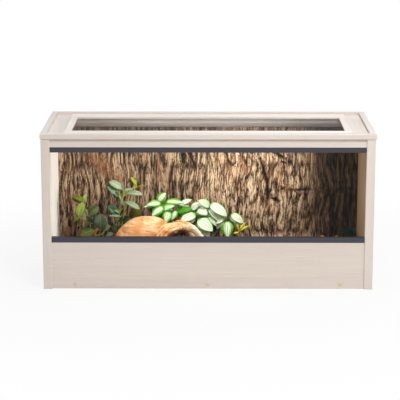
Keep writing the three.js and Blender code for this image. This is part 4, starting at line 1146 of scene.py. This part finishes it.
def nearest(nodes, base):
    """The place on the stems that a leaf's stalk comes from: the nearest, where a place less than
    4 mm below the leaf counts as 60 mm further off."""
    too_high = base[2] - nodes[:, 2] < 4 * MM
    return nodes[np.argmin(np.linalg.norm(nodes - base, axis=1) + 60 * MM * too_high)]


def plant(name, facts, rng, materials):
    """One plant: its stems, and each leaf with a stalk that sags on its way from a stem.

    The leaves that fill it are darker, as they stand in the shade of its own.
    """
    crown = np.array((*facts["crown"], BED_TOP))
    bunch = Bunch()

    def stalk(line, radii, sides=8):
        points, faces = tube(line, np.linspace(*radii, len(line)) * MM, sides)
        count = len(points)
        bunch.add(points, faces, STALK, blade=np.zeros((count, 3)), tint=np.ones((count, 4)))

    stems = [smooth_line(np.array(stem) * MM + crown, STEM_STEPS) for stem in facts["stems"]]
    first = stems[0][0]
    stalk(smooth_line([first - (0, 0, 12 * MM), first], 4), (2.2, 2.2))
    for stem in stems:
        stalk(stem, (1.9, 1.2))
    nodes = np.concatenate(stems)
    own = len(facts["leaves"])
    for number, (start, end, width, tint) in enumerate(facts["leaves"] + filling(facts, rng)):
        base, tip = (np.array(place) * MM + crown for place in (start, end))
        light = 1.0 if number < own else IN_SHADE
        points, faces, place, tints = blade(base, tip, width * MM, tint, rng, light)
        bunch.add(points, faces, STRIPED_LEAF if tint in STRIPED else LEAF, blade=place, tint=tints)
        joint = nearest(nodes, base)
        sag = (0, 0, 0.12 * np.linalg.norm(base - joint))
        bend = joint + 0.6 * (base - joint) - sag
        inside = base + (tip - base) * 0.12
        stalk(smooth_line([joint, bend, base, inside], STALK_STEPS), (1.1, 0.7), sides=6)
    bunch.piece(name + "_leaves", materials, facts["slot"], (name,))


def litter(count, rng):
    """Dry leaves along the foot of the bark: they lie on it, and at the left some stand up."""
    bunch = Bunch()
    spots = np.linspace(LEFT_WALL + 30 * MM, RIGHT_WALL - 60 * MM, count)
    spots = spots + rng.uniform(-12 * MM, 12 * MM, count)
    for number, x in enumerate(spots):
        y = BARK_FRONT - rng.uniform(34, 62) * MM
        start = np.array((x, y, ground(x, y) + 2.5 * MM))
        end = start + rng.uniform((-24, 4, 8), (24, 16, 17)) * MM
        if number % 2 == 0 and x < LEFT_WALL + 250 * MM:
            start = start + (0, 8 * MM, 14 * MM)
            end = start + rng.uniform((-22, 4, 26), (22, 10, 36)) * MM
        tint = "dry" if rng.random() < 0.5 else "dry_dark"
        points, faces, place, tints = blade(start, end, rng.uniform(12, 20) * MM, tint, rng)
        bunch.add(points, faces, LEAF, blade=place, tint=tints)
    bunch.piece("dry_leaves", [leaf_skin("dry_leaf_skin", 0.7)], "substrate")


# -------- operators
# Where each piece's random numbers start.
SEEDS = {"bark": 7, "bed": 11, "stone": 3, "driftwood": 5, "plants": 100}

# Each laminate: its grain, the colour of its upward faces, which paints light from above, that of its inner
# faces, which paints light on the left wall and shade on the right, and its boards.
LAMINATES = {
    "upright": ("z", "top", None, ("front_stile_left", "front_stile_right")),
    "level": ("x", "top", None, (
        "base_board", "back_panel", "back_rail", "front_upper_rail", "front_lower_panel",
        "rim_front", "rim_back", "deck_front", "deck_back",
    )),
    "deep": ("y", "top", None, ("rim_left", "rim_right", "deck_left", "deck_right")),
    "lined_left": ("z", "top", "lining", ("side_panel_left",)),
    "lined_right": ("z", "top", "shaded", ("side_panel_right",)),
    "lid_across": ("x", "lid", None, ("lid_front", "lid_back")),
    "lid_deep": ("y", "lid", None, ("lid_left", "lid_right")),
}


def dress(name, material):
    """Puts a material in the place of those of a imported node."""
    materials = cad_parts[name].data.materials
    materials.clear()
    materials.append(material)


class TERRARIUM_OT_boards(bpy.types.Operator):
    """Finishes every board with laminate, its grain along the board"""

    bl_idname = "terrarium.boards"
    bl_label = "Boards"

    def execute(self, context):
        finish = context.scene.terrarium_boards
        for kind, (grain, top, lining, boards) in LAMINATES.items():
            lining = getattr(finish, lining) if lining else None
            material = laminate("laminate_" + kind, finish, grain, getattr(finish, top), lining)
            for name in boards:
                dress(name, material)
        return {"FINISHED"}


class TERRARIUM_OT_fittings(bpy.types.Operator):
    """Finishes the glass tracks, the screws and their covers"""

    bl_idname = "terrarium.fittings"
    bl_label = "Tracks and screws"

    def execute(self, context):
        finish = context.scene.terrarium_boards
        materials = {"track_": track_plastic(finish), "screw_cover_": cover_plastic(finish)}
        materials["screw"] = screw_steel(finish)
        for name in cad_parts:
            kind = next((word for word in materials if word in name), None)
            if kind:
                dress(name, materials[kind])
        return {"FINISHED"}


class TERRARIUM_OT_glass(bpy.types.Operator):
    """Finishes the two sliding panes"""

    bl_idname = "terrarium.glass"
    bl_label = "Glass"

    def execute(self, context):
        pane = clear_glass(context.scene.terrarium_glass)
        dress("glass_door_left", pane)
        dress("glass_door_right", pane)
        return {"FINISHED"}


class TERRARIUM_OT_lid_mesh(bpy.types.Operator):
    """Makes the fine wire mesh of the lid"""

    bl_idname = "terrarium.lid_mesh"
    bl_label = "Lid mesh"

    def execute(self, context):
        size = context.scene.terrarium_lid_mesh
        metal = [wire_metal(size)]
        wires(size).piece("lid_wires", metal, "mesh_wire", ("lid_mesh",), body="mesh_lid", smooth=False)
        return {"FINISHED"}


class TERRARIUM_OT_bark(bpy.types.Operator):
    """Makes the bark background"""

    bl_idname = "terrarium.bark"
    bl_label = "Bark background"

    def execute(self, context):
        size = context.scene.terrarium_bark
        sheet, height, rust = bark_surface(size, np.random.default_rng(SEEDS["bark"]))
        points, faces = backed_sheet(sheet, 1, BARK_BACK)
        extra = len(points) - height.size
        values = {
            "height": np.append(height.ravel(), np.full(extra, 0.3)),
            "rust": np.append(rust.ravel(), np.zeros(extra)),
        }
        material = [bark_skin(size)]
        mesh_piece("bark_sheet", points, faces, material, "bark", ("bark_background",), values=values)
        return {"FINISHED"}


class TERRARIUM_OT_bed(bpy.types.Operator):
    """Makes the substrate and the bark chips on it"""

    bl_idname = "terrarium.bed"
    bl_label = "Substrate"

    def execute(self, context):
        bed = context.scene.terrarium_bed
        rng = np.random.default_rng(SEEDS["bed"])
        points, faces = backed_sheet(bed_surface(rng), 2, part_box("substrate_bed")[0].z)
        mesh_piece("substrate_mulch", points, faces, [soil_skin(bed)], "substrate", ("substrate_bed",))
        points, faces, shade = chip_shapes(bed.chips, rng)
        material = [chip_skin(bed)]
        mesh_piece("bark_chips", points, faces, material, "substrate", values={"shade": shade}, smooth=False)
        litter(bed.leaves, rng)
        return {"FINISHED"}


class TERRARIUM_OT_stone(bpy.types.Operator):
    """Makes the basking stone"""

    bl_idname = "terrarium.stone"
    bl_label = "Stone"

    def execute(self, context):
        rock = context.scene.terrarium_rock
        points, faces, height = stone_surface(rock, np.random.default_rng(SEEDS["stone"]))
        material = [stone_skin(rock)]
        values = {"height": height}
        mesh_piece("stone_dome", points, faces, material, "sandstone", ("basking_stone",), values=values)
        return {"FINISHED"}


class TERRARIUM_OT_driftwood(bpy.types.Operator):
    """Makes the arched driftwood"""

    bl_idname = "terrarium.driftwood"
    bl_label = "Driftwood"

    def execute(self, context):
        rock = context.scene.terrarium_rock
        points, faces, hollow_and_shade, run = driftwood_surface(np.random.default_rng(SEEDS["driftwood"]))
        wood = [driftwood_skin(rock)]
        values = {"height": hollow_and_shade, "run": run}
        mesh_piece("driftwood_branch", points, faces, wood, "driftwood", ("driftwood_arch",), values=values)
        return {"FINISHED"}


class TERRARIUM_OT_plants(bpy.types.Operator):
    """Makes the plants"""

    bl_idname = "terrarium.plants"
    bl_label = "Plants"

    def execute(self, context):
        leaf = leaf_skin("leaf_skin", 0.42)
        striped = striped_leaf_skin()
        for index, (name, facts) in enumerate(PLANTS.items()):
            stalk = stem_skin("stalk_" + name, np.array(facts["stalk"]) / 255)
            rng = np.random.default_rng(SEEDS["plants"] + index)
            plant(name, facts, rng, [leaf, stalk, striped])
        return {"FINISHED"}


# Each lamp: its kind, its place and what it shines at, in metres, and its form.
LAMPS = {
    "key": ("AREA", (0.97, -2.15, 2.6), (0, 0, 0.3), {"size": 1.0}),
    "back": ("AREA", (0.6, 2.3, 2.7), (0, 0, 0.3), {"size": 1.8}),
    "cabin": ("AREA", (0, -0.07, 0.458), (0, 0.04, 0.1), {"shape": "RECTANGLE", "size": 0.5, "size_y": 0.1}),
    "wall": (
        "SPOT", (0.4, -0.06, 0.43), (-0.484, 0, 0.27),
        {"spot_size": math.radians(32), "spot_blend": 0.5, "shadow_soft_size": 0.03},
    ),
}


class TERRARIUM_OT_studio(bpy.types.Operator):
    """Sets the camera, the lamps, the floor and the white surround"""

    bl_idname = "terrarium.studio"
    bl_label = "Studio"

    def execute(self, context):
        scene = context.scene
        light = scene.terrarium_light
        camera = bpy.data.objects.new("camera", bpy.data.cameras.new("camera"))
        camera.data.lens = light.lens
        camera.data.sensor_width = 36
        camera.data.clip_end = 50
        camera.location = light.stand
        camera.rotation_euler = (math.pi / 2 - light.tilt, 0, light.turn)
        scene.collection.objects.link(camera)
        scene.camera = camera
        for name, facts in LAMPS.items():
            self.lamp(scene, name + "_lamp", getattr(light, name), *facts)
        self.floor()
        self.surround(scene, light.sky)
        scene.view_settings.view_transform = "Standard"
        return {"FINISHED"}

    @staticmethod
    def lamp(scene, name, power, kind, place, aim, form):
        """A lamp at a place that shines at another, and that the camera doesn't see."""
        data = bpy.data.lights.new(name, kind)
        data.energy = power
        for key, value in form.items():
            setattr(data, key, value)
        lamp = bpy.data.objects.new(name, data)
        lamp.location = place
        x, y, z = np.subtract(place, aim)
        lamp.rotation_euler = (math.atan2(math.hypot(x, y), z), 0, math.atan2(x, -y))
        lamp.visible_camera = False
        scene.collection.objects.link(lamp)

    @staticmethod
    def floor():
        """A pale floor that takes the cabinet's shadow, and turns to plain white between half a metre
        and 1.3 m from its middle."""
        reach = 14.0
        points = [(-reach, -reach, 0), (reach, -reach, 0), (reach, reach, 0), (-reach, reach, 0)]
        mesh = bpy.data.meshes.new("studio_floor")
        mesh.from_pydata(points, [], [(0, 1, 2, 3)])
        paint = Paint("studio_floor")
        across, back, _ = paint.parts(paint.place())
        far = paint.stretch((across ** 2.0 + back ** 2.0) ** 0.5, 0.5, 1.3)
        seen = paint.node("ShaderNodeLightPath", output="Is Camera Ray")
        lit = paint.surface((0.72, 0.72, 0.72, 1.0), 0.9)
        white = paint.node("ShaderNodeEmission", None, {"Color": WHITE, "Strength": 1.0})
        share = seen * (0.86 + 0.14 * far)
        mesh.materials.append(paint.done(paint.mix_shaders(share, lit, white)))
        plane = bpy.data.objects.new("studio_floor", mesh)
        bpy.context.scene.collection.objects.link(plane)

    @staticmethod
    def surround(scene, strength):
        """Even light from all round, which the camera sees as white."""
        paint = Paint("studio", bpy.data.worlds)
        seen = paint.node("ShaderNodeLightPath", output="Is Camera Ray")
        level = strength + (1.0 - strength) * seen
        back = paint.node("ShaderNodeBackground", None, {0: WHITE, 1: level})
        scene.world = paint.done(back, "ShaderNodeOutputWorld")


class TERRARIUM_PT_parts(bpy.types.Panel):
    """Lists the cabinet's parts and their sizes"""

    bl_label = "Terrarium cabinet"
    bl_idname = "TERRARIUM_PT_parts"
    bl_space_type = "VIEW_3D"
    bl_region_type = "UI"
    bl_category = "Terrarium"

    def draw(self, context):
        for operator in OPERATORS:
            self.layout.operator(operator.bl_idname)
        for name in GROUPS:
            box = self.layout.box()
            group = getattr(context.scene, name)
            for key in group.bl_rna.properties.keys():
                if key not in ("rna_type", "name"):
                    box.prop(group, key)


GROUPS = {
    "terrarium_boards": BoardFinish,
    "terrarium_glass": GlassFinish,
    "terrarium_lid_mesh": LidMeshSize,
    "terrarium_bark": BarkSize,
    "terrarium_bed": BedSize,
    "terrarium_rock": RockSize,
    "terrarium_light": StudioLight,
}
OPERATORS = (
    TERRARIUM_OT_boards,
    TERRARIUM_OT_fittings,
    TERRARIUM_OT_glass,
    TERRARIUM_OT_lid_mesh,
    TERRARIUM_OT_bark,
    TERRARIUM_OT_bed,
    TERRARIUM_OT_stone,
    TERRARIUM_OT_driftwood,
    TERRARIUM_OT_plants,
    TERRARIUM_OT_studio,
)


def register():
    for group in GROUPS.values():
        bpy.utils.register_class(group)
    for name, group in GROUPS.items():
        setattr(bpy.types.Scene, name, PointerProperty(type=group))
    for operator in OPERATORS:
        bpy.utils.register_class(operator)
    bpy.utils.register_class(TERRARIUM_PT_parts)


def unregister():
    bpy.utils.unregister_class(TERRARIUM_PT_parts)
    for operator in reversed(OPERATORS):
        bpy.utils.unregister_class(operator)
    for name in GROUPS:
        delattr(bpy.types.Scene, name)
    for group in GROUPS.values():
        bpy.utils.unregister_class(group)


def main():
    register()
    for operator in OPERATORS:
        family, name = operator.bl_idname.split(".")
        getattr(getattr(bpy.ops, family), name)()


if __name__ == "__main__":
    main()
